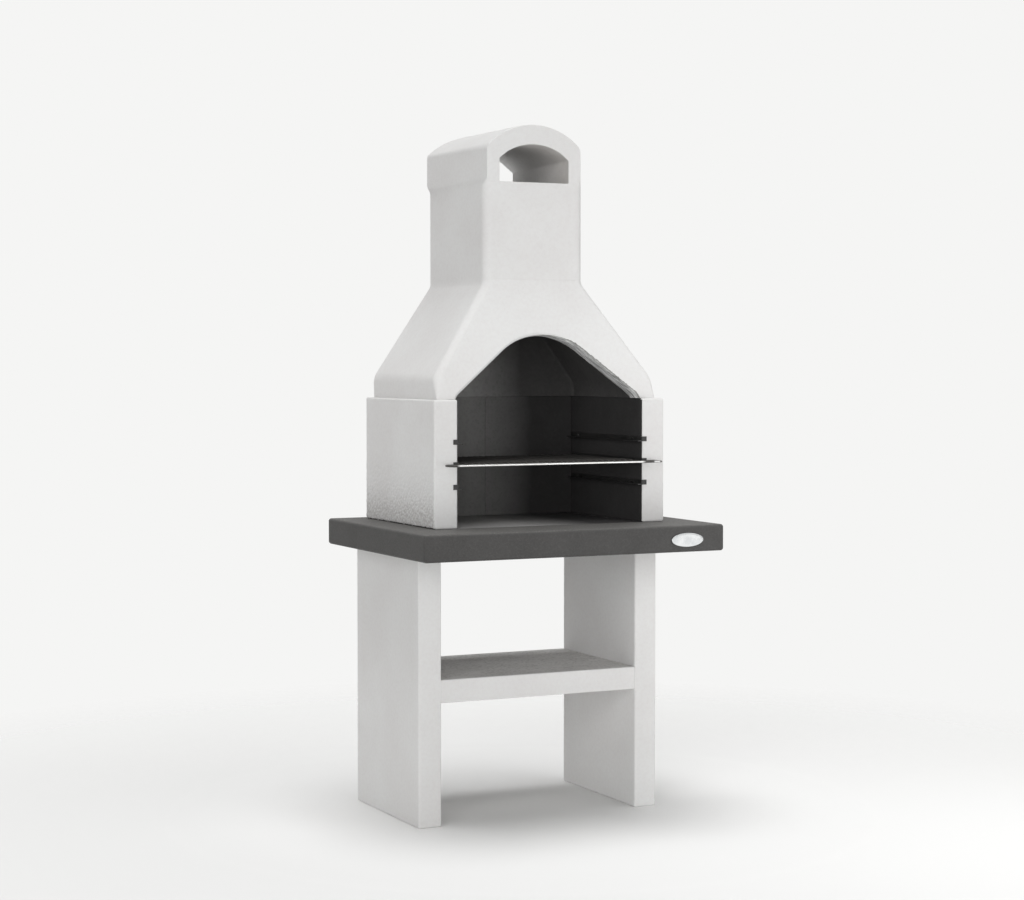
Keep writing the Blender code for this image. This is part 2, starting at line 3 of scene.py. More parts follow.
import bmesh
import bpy
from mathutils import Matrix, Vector


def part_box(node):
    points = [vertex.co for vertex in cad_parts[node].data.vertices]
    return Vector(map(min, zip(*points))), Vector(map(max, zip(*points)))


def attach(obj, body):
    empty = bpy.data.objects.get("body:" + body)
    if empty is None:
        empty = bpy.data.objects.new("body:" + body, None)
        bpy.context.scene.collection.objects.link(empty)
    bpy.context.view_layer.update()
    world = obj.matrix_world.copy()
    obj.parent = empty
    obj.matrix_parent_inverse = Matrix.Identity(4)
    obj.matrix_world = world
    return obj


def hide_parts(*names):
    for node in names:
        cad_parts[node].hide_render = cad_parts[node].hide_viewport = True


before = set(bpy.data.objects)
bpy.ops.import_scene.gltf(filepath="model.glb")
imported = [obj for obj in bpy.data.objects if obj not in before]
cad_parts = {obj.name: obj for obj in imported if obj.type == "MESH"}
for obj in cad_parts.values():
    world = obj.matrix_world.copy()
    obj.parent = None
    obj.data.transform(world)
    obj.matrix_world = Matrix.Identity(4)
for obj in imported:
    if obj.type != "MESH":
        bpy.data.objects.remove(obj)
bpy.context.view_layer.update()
print("frame loaded:", len(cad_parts), "nodes")


def addObject(name, data):
    added = bpy.data.objects.new(name, data)
    bpy.context.scene.collection.objects.link(added)
    return added


# In every function, v is the dictionary of values of the piece or material at hand
# Camera: where the photograph was taken from
cameraView = {
    "place": (-3.02941, -6.14994, 1.41222),
    "tiltDown": 2.38,   # degrees below the horizon
    "turn": 25.95,      # degrees to the right of straight on
    "lens": 77.53,      # mm on a 36 mm sensor
    "sensor": 36.0,
}


def addCamera():
    v = cameraView
    data = bpy.data.cameras.new("photoCamera")
    data.lens, data.sensor_width = v["lens"], v["sensor"]
    camera = addObject("photoCamera", data)
    camera.location = v["place"]
    camera.rotation_euler = (math.radians(90 - v["tiltDown"]), 0, -math.radians(v["turn"]))
    bpy.context.scene.camera = camera


addCamera()
print("camera placed")


# Materials: small helpers
noiseSpan = (0.3, 0.7)   # nearly all values of a noise lie in it
# Detail and roughness of each kind of noise
noiseKinds = {
    "grit": (3, 0.6), "patches": (3, 0.5), "stipple": (2, 0.55), "uneven": (2, 0.6), "clouds": (4, 0.55),
    "rag": (4, 0.65), "streaks": (3, 0.7), "dust": (4, 0.6), "soft": (1, 0.4),
}


def hexColour(code):
    # sRGB hex to the linear values that the shader wants
    values = []
    for i in (1, 3, 5):
        c = int(code[i:i + 2], 16) / 255
        values.append(c / 12.92 if c <= 0.04045 else ((c + 0.055) / 1.055) ** 2.4)
    return (*values, 1.0)


def link(source, target):
    source.id_data.links.new(source, target)


def addNode(kind, inputs=None, tree=None, **settings):
    # One node; an input is a plain value, a hex colour or the socket that feeds it, whose tree it joins
    inputs = inputs or {}
    fed = [value for value in inputs.values() if isinstance(value, bpy.types.NodeSocket)]
    node = (tree or fed[0].id_data).nodes.new("ShaderNode" + kind)
    for key, value in settings.items():
        setattr(node, key, value)
    for key, value in inputs.items():
        if isinstance(value, bpy.types.NodeSocket):
            link(value, node.inputs[key])
        else:
            node.inputs[key].default_value = hexColour(value) if isinstance(value, str) else value
    return node


def shaderOf(material):
    return material.node_tree.nodes["Principled BSDF"]


def newMaterial(name, metallic=0.0):
    material = bpy.data.materials.new(name)
    material.use_nodes = True
    shaderOf(material).inputs["Metallic"].default_value = metallic
    return material, addNode("TexCoord", tree=material.node_tree).outputs


def feed(material, colour, roughness, normal):
    for name, socket in (("Base Color", colour), ("Roughness", roughness), ("Normal", normal)):
        link(socket, shaderOf(material).inputs[name])
    return material


def noiseAt(place, sizeMm, kind="grit"):
    # The texture's scale comes from the real size of its grains
    detail, rough = noiseKinds[kind]
    inputs = {"Vector": place, "Scale": 1000 / sizeMm, "Detail": detail, "Roughness": rough}
    return addNode("TexNoise", inputs).outputs["Fac"]


def swingAt(place, sizeMm, kind="grit"):
    # A noise that swings evenly about zero
    return calc("SUBTRACT", noiseAt(place, sizeMm, kind), 0.5)


def grainsAt(place, sizeMm):
    return addNode("TexVoronoi", {"Vector": place, "Scale": 1000 / sizeMm}).outputs


def ramp(factor, span, colourLow, colourHigh):
    # Two colours, blended between two values of the factor
    node = addNode("ValToRGB", {"Fac": factor})
    for stop, position, colour in zip(node.color_ramp.elements, span, (colourLow, colourHigh)):
        stop.position, stop.color = position, hexColour(colour)
    return node.outputs["Color"]


def mixColour(factor, first, second, blend="MIX"):
    inputs = {0: factor, 6: first, 7: second}
    return addNode("Mix", inputs, data_type="RGBA", blend_type=blend).outputs[2]


def spread(factor, span, outLow, outHigh):
    # One range of values laid over another, and held at its ends
    inputs = {"Value": factor, "From Min": span[0], "From Max": span[1], "To Min": outLow, "To Max": outHigh}
    return addNode("MapRange", inputs).outputs["Result"]


def calc(operation, *values):
    return addNode("Math", dict(enumerate(values)), operation=operation).outputs[0]


def addTimes(base, value, amount):
    return calc("ADD", base, calc("MULTIPLY", value, amount))


def along(place, direction):
    # How far a point lies along a direction, in metres
    return addNode("VectorMath", {0: place, 1: direction}, operation="DOT_PRODUCT").outputs["Value"]


def bump(height, distance, under=None, strength=1.0):
    inputs = {"Height": height, "Distance": distance, "Strength": strength}
    if under is not None:
        inputs["Normal"] = under
    return addNode("Bump", inputs).outputs["Normal"]


# White masonry paint on cast concrete. Grain finer than 3 mm doesn't show from here, so it is drawn coarser
whitePaint = {
    "paint": "#e6e6e5", "thin": "#e1e0df", "patchMm": 260, "patchSpan": (0.35, 0.65), "patchHeight": 0.0010,
    "grainMm": 11, "grainDark": "#fbfafa", "grainSpan": (0.28, 0.6), "roughness": (0.80, 0.92),
    "poreMm": 75, "poreColour": "#dbd9d7", "poreSpan": (0.02, 0.05), "poreShare": 0.35,
    "poreDepth": 0.0004, "poreStrength": 0.25,
    "stippleMm": 8, "stippleFront": 0.3, "stippleSide": 1.0, "sideSpan": (0.3, 0.9), "stippleHeight": 0.0004,
}

# Roughcast on the cheeks' outer sides: lumps of a fingertip's size, thick near the worktop and thin above
roughcastLook = {
    "lumpMm": 9, "lumpMelt": 0.6, "lumpHeight": 0.0014, "unevenMm": 7.2,
    "pitShade": "#d2d0ce", "pitShadeSpan": (0.75, 1.15),
    "fullReach": 0.04, "endReach": 0.20, "topShare": 0.10,
    "mortarAndGapShade": "#3a3937", "lineSpan": (0.0080, 0.0088), "lineRag": 0.011,
}


def paintLayers(coords, v):
    # Colour, roughness and normal of the paint: broad faint patches where it lies thinner, the
    # roller's fine stipple, stronger on the sides than on the trowelled fronts, and a few open pores
    place = coords["Object"]
    patches = noiseAt(place, v["patchMm"], "patches")
    tint = ramp(patches, v["patchSpan"], v["thin"], v["paint"])
    grain = noiseAt(place, v["grainMm"])
    shade = ramp(grain, v["grainSpan"], v["grainDark"], "#ffffff")
    colour = mixColour(1.0, tint, shade, "MULTIPLY")
    pores = grainsAt(place, v["poreMm"])["Distance"]
    opened = spread(pores, v["poreSpan"], v["poreShare"], 0)
    colour = mixColour(opened, colour, v["poreColour"])
    facing = addNode("SeparateXYZ", {0: coords["Normal"]}).outputs["X"]
    sideways = calc("ABSOLUTE", facing)
    strength = spread(sideways, v["sideSpan"], v["stippleFront"], v["stippleSide"])
    stipple = calc("MULTIPLY", noiseAt(place, v["stippleMm"], "stipple"), strength)
    normal = bump(patches, v["patchHeight"])
    normal = bump(stipple, v["stippleHeight"], normal)
    closed = spread(pores, v["poreSpan"], 0, 1)
    normal = bump(closed, v["poreDepth"], normal, v["poreStrength"])
    return colour, spread(grain, noiseSpan, *v["roughness"]), normal


def paintedConcrete():
    # Matt and slightly uneven, as rolled masonry paint is
    material, coords = newMaterial("masonry_paint_on_cast_concrete")
    return feed(material, *paintLayers(coords, whitePaint))


def paintedRoughcast():
    # Paint over thrown mortar: its lumps catch the light, and the pits between them are painted darker as
    # shade
    v = roughcastLook
    material, coords = newMaterial("masonry_paint_on_roughcast")
    place = coords["Object"]
    colour, rough, normal = paintLayers(coords, whitePaint)
    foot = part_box("left_cheek")[0].z
    height = along(place, (0, 0, 1))
    reach = spread(height, (foot + v["fullReach"], foot + v["endReach"]), 1, v["topShare"])
    lumps = addNode("TexVoronoi", {
        "Vector": place, "Scale": 1000 / v["lumpMm"], "Smoothness": v["lumpMelt"],
    }, feature="SMOOTH_F1").outputs["Distance"]
    uneven = noiseAt(place, v["unevenMm"], "uneven")
    pits = calc("MULTIPLY", calc("ADD", lumps, uneven), reach)
    # Painted shade: the pits between the lumps are darkened, strongly near the worktop and fading upward
    colour = mixColour(spread(pits, v["pitShadeSpan"], 0, 1), colour, v["pitShade"])
    # A ragged dark line at the foot: dark mortar squeezed out under the cheek, with the shade of the gap
    # under it painted in
    edge = calc("SUBTRACT", addTimes(height, uneven, v["lineRag"]), foot)
    colour = mixColour(spread(edge, v["lineSpan"], 1, 0), colour, v["mortarAndGapShade"])
    depth = calc("MULTIPLY", pits, -1.0)
    return feed(material, colour, rough, bump(depth, v["lumpHeight"], normal))


# Bare cast concretes. The worktop is coloured in the mix, and its top is ground, which lays the paler sand
# bare; its top is also painted paler as light from above, and its sides darker as shade. A paler tone painted
# in as light fades along litFadesAlong
castings = {
    "worktopShadedSides": {
        "name": "grey_concrete_sides_painted_shaded", "paste": "#444342", "pasteDark": "#3d3c3b", "cloudMm": 120,
        "sandMm": 4, "sandShare": 0.18, "sandPale": "#565553", "sandDark": "#302f2e",
        "gritMm": 5, "gritHeight": 0.0005, "roughness": (0.66, 0.82),
    },
    "worktopLitTop": {
        "name": "grey_concrete_ground_top_painted_lit", "paste": "#52514f", "pasteDark": "#4a4947", "cloudMm": 120,
        "sandMm": 4, "sandShare": 0.35, "sandPale": "#6f6d6a", "sandDark": "#383736",
        "gritMm": 5, "gritHeight": 0.0004, "roughness": (0.60, 0.78),
    },
    "bareTopPaintedLit": {
        "name": "bare_concrete_painted_paler_as_lit", "paste": "#eeecea", "pasteDark": "#dfddda", "cloudMm": 90,
        "sandMm": 7, "sandShare": 0.5, "sandPale": "#f8f6f4", "sandDark": "#b9b7b4",
        "gritMm": 7, "gritHeight": 0.0009, "roughness": (0.82, 0.94),
    },
    "ventGrey": {
        "name": "smoked_cast_concrete", "paste": "#d2cfcc", "pasteDark": "#c4c1be", "cloudMm": 60,
        "sandMm": 9, "sandShare": 0.12, "sandPale": "#e0dddb", "sandDark": "#aeaba8",
        "gritMm": 9, "gritHeight": 0.0006, "roughness": (0.84, 0.95),
        "litTone": "#f6f5f4", "litFadesAlong": (0, -1, 0), "litSpan": (-0.24, 0.07),
    },
    "refractory": {
        "name": "cast_refractory", "paste": "#3c3b3b", "pasteDark": "#353434", "cloudMm": 130,
        "sandMm": 6, "sandShare": 0.12, "sandPale": "#4a4948", "sandDark": "#2a2929",
        "gritMm": 8, "gritHeight": 0.0005, "roughness": (0.80, 0.93), "shine": 0.15,
        "litTone": "#929190", "litFadesAlong": (1, 0, 0), "litSpan": (-0.03, 0.195),
    },
    "soot": {
        "name": "sooted_cast_concrete", "paste": "#484746", "pasteDark": "#3f3e3e", "cloudMm": 90,
        "sandMm": 8, "sandShare": 0.15, "sandPale": "#565554", "sandDark": "#313030",
        "gritMm": 8, "gritHeight": 0.0008, "roughness": (0.86, 0.96), "shine": 0.15,
        "litTone": "#acabaa", "litFadesAlong": (1, 0, 0), "litSpan": (-0.06, 0.155),
    },
}
# What they share: how unevenly the painted light fades, the clouds' relief, and which grains are pale and
# which dark
castShared = {"litDrift": 0.06, "cloudHeight": 0.0008, "paleSpan": (0.72, 0.95), "darkSpan": (0.05, 0.25)}


def castLayers(coords, v):
    # Colour, roughness and normal of bare cast concrete: cloudy paste with paler and darker sand in it
    place, shared = coords["Object"], castShared
    cloud = noiseAt(place, v["cloudMm"], "clouds")
    colour = ramp(cloud, noiseSpan, v["pasteDark"], v["paste"])
    # Painted light: a paler tone on the side that more light reaches, fading out along litFadesAlong
    if "litTone" in v:
        reach = addTimes(along(place, v["litFadesAlong"]), cloud, shared["litDrift"])
        colour = mixColour(spread(reach, v["litSpan"], 1, 0), colour, v["litTone"])
    sand = grainsAt(place, v["sandMm"])
    tone = addNode("SeparateColor", {"Color": sand["Color"]}).outputs["Red"]
    pale = spread(tone, shared["paleSpan"], 0, v["sandShare"])
    dark = spread(tone, shared["darkSpan"], v["sandShare"], 0)
    colour = mixColour(pale, colour, v["sandPale"])
    colour = mixColour(dark, colour, v["sandDark"])
    grit = noiseAt(place, v["gritMm"])
    normal = bump(grit, v["gritHeight"], bump(cloud, shared["cloudHeight"]))
    return colour, spread(grit, noiseSpan, *v["roughness"]), normal


def castConcrete(v):
    # Dull and grainy, with sand showing in the paste; soot and ash take away what shine it has
    material, coords = newMaterial(v["name"])
    shaderOf(material).inputs["Specular IOR Level"].default_value = v.get("shine", 0.5)
    return feed(material, *castLayers(coords, v))


# The hood's mouth, by depth behind the leaning front face: the end of the paint at the left and right end of
# acrossSpan, its chips and the dark line of its broken edge, the grey painted darker as shade on the lip's
# rounding, and where soot takes over
hoodMouth = {
    "paintLeft": 0.0062, "paintRight": 0.0002, "acrossSpan": (-0.05, 0.10),
    "chipMm": 6, "chip": 0.0016, "bareSpan": (0, 0.0003),
    "chipLine": "#6f6e6b", "chipLineSpan": (0.00048, 0.0012), "chipLineShare": 0.8,
    "lip": "#d2d2d1", "lipDimmedSpan": (0, 0.012), "sootSpan": (0.04416, 0.048), "ragMm": 10, "rag": 0.016,
    "streakDark": "#8e8e8d", "streakPale": "#eaeae9", "streakSpan": (0.38, 0.6),
    "streakMm": 9, "streakStretch": 0.14, "streakHeight": 0.0016,
}


def sootedConcrete():
    # Paint reaches round the lip on the left and ends in chips at its outer edge on the right, then
    # comes bare grey concrete with the mould's drag marks along it, and further in the soot
    v = hoodMouth
    material, coords = newMaterial("bare_lip_and_sooted_concrete")
    place = coords["Object"]
    low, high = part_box("hood")
    lean = (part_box("chimney_shaft")[0].y - low.y) / (high.z - low.z)
    depth = calc("SUBTRACT", along(place, (0, 1, -lean)), low.y - lean * low.z)
    ragged = addTimes(depth, swingAt(place, v["ragMm"], "rag"), v["rag"])
    black = spread(ragged, v["sootSpan"], 0, 1)
    parts = addNode("SeparateXYZ", {0: place}).outputs
    ends = spread(parts["X"], v["acrossSpan"], v["paintLeft"], v["paintRight"])
    past = addTimes(depth, swingAt(place, v["chipMm"]), v["chip"])
    past = calc("SUBTRACT", past, ends)
    bare = spread(past, v["bareSpan"], 0, 1)
    broken = spread(past, v["chipLineSpan"], v["chipLineShare"], 0)
    drag = addNode("CombineXYZ", {
        "X": calc("MULTIPLY", parts["X"], v["streakStretch"]), "Y": depth,
        "Z": calc("MULTIPLY", parts["Z"], v["streakStretch"])}).outputs[0]
    marks = noiseAt(drag, v["streakMm"], "streaks")
    grey = ramp(marks, v["streakSpan"], v["streakDark"], v["streakPale"])
    # Painted shade and light: the grey is darkened on the lip's rounding, which catches more light, and left
    # paler deeper in, where less light reaches
    shaded = mixColour(1.0, grey, v["lip"], "MULTIPLY")
    grey = mixColour(spread(ragged, v["lipDimmedSpan"], 0, 1), shaded, grey)
    grey = mixColour(broken, grey, v["chipLine"])
    paint = paintLayers(coords, whitePaint)
    soot = castLayers(coords, castings["soot"])
    colour = mixColour(black, mixColour(bare, paint[0], grey), soot[0])
    ridges = calc("MULTIPLY", marks, bare)
    return feed(material, colour, soot[1], bump(ridges, v["streakHeight"], soot[2]))


coatFinish = {
    "coat": "#1b1b1b", "dust": "#2e2d2c", "dustMm": 35, "dustSpan": (0.35, 0.75), "roughness": (0.42, 0.62),
    "peelMm": 4, "peelHeight": 0.0002,
}


def coatedSteel():
    # Folded sheet under black powder coat: satin, with the coat's orange peel and a film of dust
    v = coatFinish
    material, coords = newMaterial("black_powder_coated_steel")
    dust = noiseAt(coords["Object"], v["dustMm"], "dust")
    colour = ramp(dust, v["dustSpan"], v["coat"], v["dust"])
    peel = bump(noiseAt(coords["Object"], v["peelMm"], "soft"), v["peelHeight"])
    return feed(material, colour, spread(dust, noiseSpan, *v["roughness"]), peel)


# Metal finishes, with what their haze of handling and heat shares
hazeSpans = {"colour": (0.35, 0.7), "roughness": (0.3, 0.75)}
zincFinish = {"clean": "#4c4c4b", "dull": "#2d2d2c", "hazeMm": 8, "roughness": (0.50, 0.70)}
badgeFinish = {"clean": "#aeafaf", "dull": "#a0a2a3", "hazeMm": 24, "roughness": (0.22, 0.34)}
drawnMarks = {"sizeMm": 3, "height": 0.00005}
chromeFinish = {
    "clean": "#eaeae9", "dull": "#d2d1ce", "hazeMm": 30, "roughness": (0.24, 0.38),
    "burnt": "#3a3836", "fireSpan": (-0.226, -0.214), "ragMm": 16, "rag": 0.016,
    "leftSpan": (-0.3385, -0.3265), "rightSpan": (0.286, 0.298),
    "clearAt": 0.338, "clearSpan": (0.008, 0.013), "clearShare": 0.3,
    "burntRough": 0.35, "crustMm": 4, "crustHeight": 0.0004,
}


def hazeLayers(coords, v):
    haze = noiseAt(coords["Object"], v["hazeMm"])
    colour = ramp(haze, hazeSpans["colour"], v["clean"], v["dull"])
    return colour, spread(haze, hazeSpans["roughness"], *v["roughness"])


def platedSteel(name, v):
    # Bright metal with a thin haze, which dulls it in patches
    material, coords = newMaterial(name, 1.0)
    marks = noiseAt(coords["Object"], drawnMarks["sizeMm"], "soft")
    return feed(material, *hazeLayers(coords, v), bump(marks, drawnMarks["height"]))


def burntChrome():
    # Chromed wire: bright along the front, black with baked grease over the fire and at the ears
    v = chromeFinish
    material, coords = newMaterial("chromed_wire_with_baked_grease")
    place = coords["Object"]
    clean, shine = hazeLayers(coords, v)
    rag = swingAt(place, v["ragMm"])
    depth = addTimes(along(place, (0, 1, 0)), rag, v["rag"])
    burnt = spread(depth, v["fireSpan"], 0, 1)
    across = along(place, (1, 0, 0))
    left = spread(across, v["leftSpan"], 1, 0)
    right = spread(across, v["rightSpan"], 0, 1)
    # One clean spot is left on the right ear
    fromSpot = calc("ABSOLUTE", calc("SUBTRACT", across, v["clearAt"]))
    spot = spread(fromSpot, v["clearSpan"], v["clearShare"], 1)
    right = calc("MULTIPLY", right, spot)
    burnt = calc("MAXIMUM", burnt, calc("MAXIMUM", left, right))
    link(calc("SUBTRACT", 1.0, burnt), shaderOf(material).inputs["Metallic"])
    colour = mixColour(burnt, clean, v["burnt"])
    rough = addTimes(shine, burnt, v["burntRough"])
    crust = calc("MULTIPLY", noiseAt(place, v["crustMm"]), burnt)
    return feed(material, colour, rough, bump(crust, v["crustHeight"]))


finishes = {
    "paint": paintedConcrete(),
    "roughcast": paintedRoughcast(),
    **{key: castConcrete(values) for key, values in castings.items()},
    "hoodMouth": sootedConcrete(),
    "coat": coatedSteel(),
    "zinc": platedSteel("zinc_plated_steel", zincFinish),
    "badge": platedSteel("satin_anodised_aluminium", badgeFinish),
    "chrome": burntChrome(),
}
print("materials made:", len(finishes))


# Modelling: small helpers
sides = ((-1, "left"), (1, "right"))
gap = 0.0003         # between pieces that touch
bridge = 0.5 * gap   # paint reaches this far into a joint from each side
overrun = 0.010      # how far a cutter passes what it opens
near = 0.0001        # places this close count as one
margin = 0.001       # safely inside or outside of a face
squareOn = 0.9       # a normal's least part along an axis that its face looks along
weldDistance = 0.000005
flatAngle = math.radians(0.5)
softAngle = math.radians(35)
foldAngle = math.radians(40)


def deselectAll():
    if bpy.context.object and bpy.context.object.mode != "OBJECT":
        bpy.ops.object.mode_set(mode="OBJECT")
    bpy.ops.object.select_all(action="DESELECT")


def makeActive(piece):
    deselectAll()
    piece.select_set(True)
    bpy.context.view_layer.objects.active = piece


def edit(piece):
    makeActive(piece)
    bpy.ops.object.mode_set(mode="EDIT")


def leaveEdit():
    bpy.ops.object.mode_set(mode="OBJECT")


def selectAll():
    bpy.ops.mesh.select_all(action="SELECT")


def selectWhere(piece, kind, test):
    # In edit mode, of the VERTs, EDGEs or FACEs only those that pass the test
    bpy.ops.mesh.select_mode(type=kind)
    bpy.ops.mesh.select_all(action="DESELECT")
    mesh = bmesh.from_edit_mesh(piece.data)
    mesh.normal_update()
    for item in {"VERT": mesh.verts, "EDGE": mesh.edges, "FACE": mesh.faces}[kind]:
        if test(item):
            item.select_set(True)
    bmesh.update_edit_mesh(piece.data)


def bevelEdges(radius, steps):
    bpy.ops.mesh.bevel(offset=radius, segments=steps, affect="EDGES")


def bevelWhere(piece, test, radius, steps):
    # Rounds the edges that pass the test
    edit(piece)
    selectWhere(piece, "EDGE", test)
    bevelEdges(radius, steps)
    leaveEdit()


def extrude(x, y, z):
    bpy.ops.mesh.extrude_region_move(TRANSFORM_OT_translate={"value": (x, y, z)})


def weldPoints():
    selectAll()
    bpy.ops.mesh.remove_doubles(threshold=weldDistance)


def faceOutward():
    selectAll()
    bpy.ops.mesh.normals_make_consistent(inside=False)


def middle(item):
    return sum((vert.co for vert in item.verts), Vector()) / len(item.verts)


def applyModifier(piece, kind, **settings):
    modifier = piece.modifiers.new(kind.lower(), kind)
    for key, value in settings.items():
        setattr(modifier, key, value)
    makeActive(piece)
    bpy.ops.object.modifier_apply(modifier=modifier.name)


def breakFolds(piece, radius, steps):
    # Rounds every edge that is sharper than foldAngle
    applyModifier(piece, "BEVEL", width=radius, segments=steps, limit_method="ANGLE", angle_limit=foldAngle)


def settle(piece):
    # Its place goes into its mesh, so that the object sits at the origin
    makeActive(piece)
    bpy.ops.object.transform_apply(location=True, rotation=True, scale=True)


def addPrimitive(name, add, scale=(1, 1, 1), **settings):
    deselectAll()
    add(**settings)
    piece = bpy.context.object
    piece.name = piece.data.name = name
    piece.scale = scale
    settle(piece)
    return piece


def addBlock(name, low, high):
    low, high = Vector(low), Vector(high)
    return addPrimitive(name, bpy.ops.mesh.primitive_cube_add, high - low, size=1, location=(low + high) / 2)


def addCylinder(name, radius, depth, count, **settings):
    return addPrimitive(name, bpy.ops.mesh.primitive_cylinder_add, vertices=count, radius=radius, depth=depth,
                        **settings)


def combine(piece, other, operation="UNION"):
    applyModifier(piece, "BOOLEAN", operation=operation, solver="EXACT", object=other)
    bpy.data.objects.remove(other)


def cutAway(piece, cutter):
    combine(piece, cutter, "DIFFERENCE")


def between(start, end, share):
    return start + (end - start) * share


def arc(centre, radius, start, end, steps):
    return [(centre[0] + radius * math.cos(start + (end - start) * i / steps),
             centre[1] + radius * math.sin(start + (end - start) * i / steps)) for i in range(steps + 1)]


def roundedPath(corners, radii, steps):
    # A closed path through corner points, each corner replaced by an arc of its own radius
    path = []
    for i, radius in enumerate(radii):
        corner = Vector(corners[i])
        if radius == 0:
            path.append(tuple(corner))
            continue
        before = (Vector(corners[i - 1]) - corner).normalized()
        after = (Vector(corners[(i + 1) % len(corners)]) - corner).normalized()
        half = before.angle(after) / 2
        centre = corner + (before + after).normalized() * (radius / math.sin(half))
        first = corner + before * (radius / math.tan(half)) - centre
        last = corner + after * (radius / math.tan(half)) - centre
        start = math.atan2(first.y, first.x)
        sweep = (math.atan2(last.y, last.x) - start + math.pi) % (2 * math.pi) - math.pi
        path.extend(arc(centre, radius, start, start + sweep, steps))
    return path


def mirrored(half):
    return half + [(-x, z) for x, z in reversed(half) if x > 0]


def upright(path, y):
    return [(x, y, z) for x, z in path]


def loft(name, rings):
    # A solid skinned through closed outlines, with flat ends
    points, edges = [], []
    for ring in rings:
        first = len(points)
        points += ring
        edges += [(first + i, first + (i + 1) % len(ring)) for i in range(len(ring))]
    data = bpy.data.meshes.new(name)
    data.from_pydata(points, edges, [])
    piece = addObject(name, data)
    edit(piece)
    bpy.ops.mesh.select_mode(type="EDGE")
    selectAll()
    bpy.ops.mesh.bridge_edge_loops(type="SINGLE")
    selectWhere(piece, "EDGE", lambda edge: len(edge.link_faces) == 1)
    bpy.ops.mesh.edge_face_add()
    faceOutward()
    leaveEdit()
    return piece


def mergeFlat(piece):
    # After a boolean: flat faces become one face each, and doubled points one point
    edit(piece)
    selectAll()
    bpy.ops.mesh.dissolve_limited(angle_limit=flatAngle)
    weldPoints()
    leaveEdit()


def smoothShade(piece, weighted=True):
    makeActive(piece)
    bpy.ops.object.shade_smooth_by_angle(angle=softAngle)
    if weighted:
        applyModifier(piece, "WEIGHTED_NORMAL", keep_sharp=True)


def finishPiece(piece, finish, replaced=(), body="masonry"):
    settle(piece)
    piece.data.materials.clear()
    piece.data.materials.append(finishes[finish])
    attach(piece, body)
    if replaced:
        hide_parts(*replaced)


def paintFaces(piece, finish, test):
    # A second finish on the faces that pass the test
    piece.data.materials.append(finishes[finish])
    index = len(piece.data.materials) - 1
    for face in piece.data.polygons:
        if test(face.center, face.normal):
            face.material_index = index


def cutCells(piece, cell):
    # Even cuts over the edges that run nearly the whole length of each axis, for the sculpting to push
    longShare, straightShare = 0.85, 0.999
    edit(piece)
    for axis in range(3):
        span = max(piece.dimensions[axis], cell)

        def isLong(edge, axis=axis, span=span):
            run = abs((edge.verts[1].co - edge.verts[0].co)[axis])
            return edge.calc_length() > longShare * span and run > straightShare * edge.calc_length()

        selectWhere(piece, "EDGE", isLong)
        bpy.ops.mesh.subdivide(number_cuts=max(round(span / cell) - 1, 1))
    leaveEdit()


def sculpt(piece, name, v, weight):
    # Pushes the surface along its normals by a procedural pattern, as a textured brush would
    group = piece.vertex_groups.new(name=name)
    for vert in piece.data.vertices:
        group.add([vert.index], weight(vert.co, vert.normal), "REPLACE")
    texture = bpy.data.textures.new(name, v["pattern"])
    texture.noise_scale = v["sizeMm"] / 1000
    applyModifier(piece, "DISPLACE", texture=texture, texture_coords="LOCAL", vertex_group=group.name,
                  mid_level=v["level"], strength=v["height"])
    piece.vertex_groups.clear()


# Arrises of castings wear inward by up to a millimetre, in bites of a fingertip's size. A normal that is
# flatStart or more along one axis is on a flat face, and wear sets in over the next few degrees
arrisWear = {
    "pattern": "CLOUDS", "sizeMm": 12, "level": 0.0, "height": -0.0011, "flatStart": 0.995, "onset": 6,
}


def wearArrises(piece):
    def onArris(place, normal):
        turned = arrisWear["flatStart"] - max(abs(c) for c in normal)
        return min(1.0, max(0.0, turned * arrisWear["onset"]))
    sculpt(piece, "arris_wear", arrisWear, onArris)


def castSlab(name, node, v):
    # A block of its solid's size with round arrises
    slab = addBlock(name, *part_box(node))
    bevelWhere(slab, lambda edge: True, v["edge"], v["edgeSteps"])
    cutCells(slab, v["cell"])
    return slab


def finishCasting(piece, finish, node, weighted=True):
    wearArrises(piece)
    smoothShade(piece, weighted)
    finishPiece(piece, finish, [node])


# Legs: two slabs, each with a blind socket for the shelf's tongue
legValues = {"edge": 0.004, "edgeSteps": 4, "cell": 0.010, "tongueInset": 0.060, "tongueHeight": 0.036}


def tongueRange():
    low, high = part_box("shelf")
    centre = (low.z + high.z) / 2
    reach = legValues["tongueHeight"] / 2
    return low.y + legValues["tongueInset"], high.y - legValues["tongueInset"], centre - reach, centre + reach


def buildLegs():
    front, back, bottom, top = tongueRange()
    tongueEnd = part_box("shelf")[1].x
    for side, hand in sides:
        node = hand + "_leg"
        low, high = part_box(node)
        leg = castSlab(hand + "LegCasting", node, legValues)
        inner = low.x if side > 0 else high.x
        reach = sorted((inner - side * overrun, side * (tongueEnd + gap)))
        cutAway(leg, addBlock("socket", (reach[0], front - gap, bottom - gap),
                              (reach[1], back + gap, top + gap)))
        finishCasting(leg, "paint", node)


buildLegs()
print("legs built")


# Shelf: painted slab with bare top and a tongue at each end. It runs up to the legs, and filler closes the
# notch that each leg's round arris would leave beside it
shelfValues = {"edge": 0.003, "edgeSteps": 4, "cell": 0.010, "arrisSides": 48, "bareFacing": 0.95}


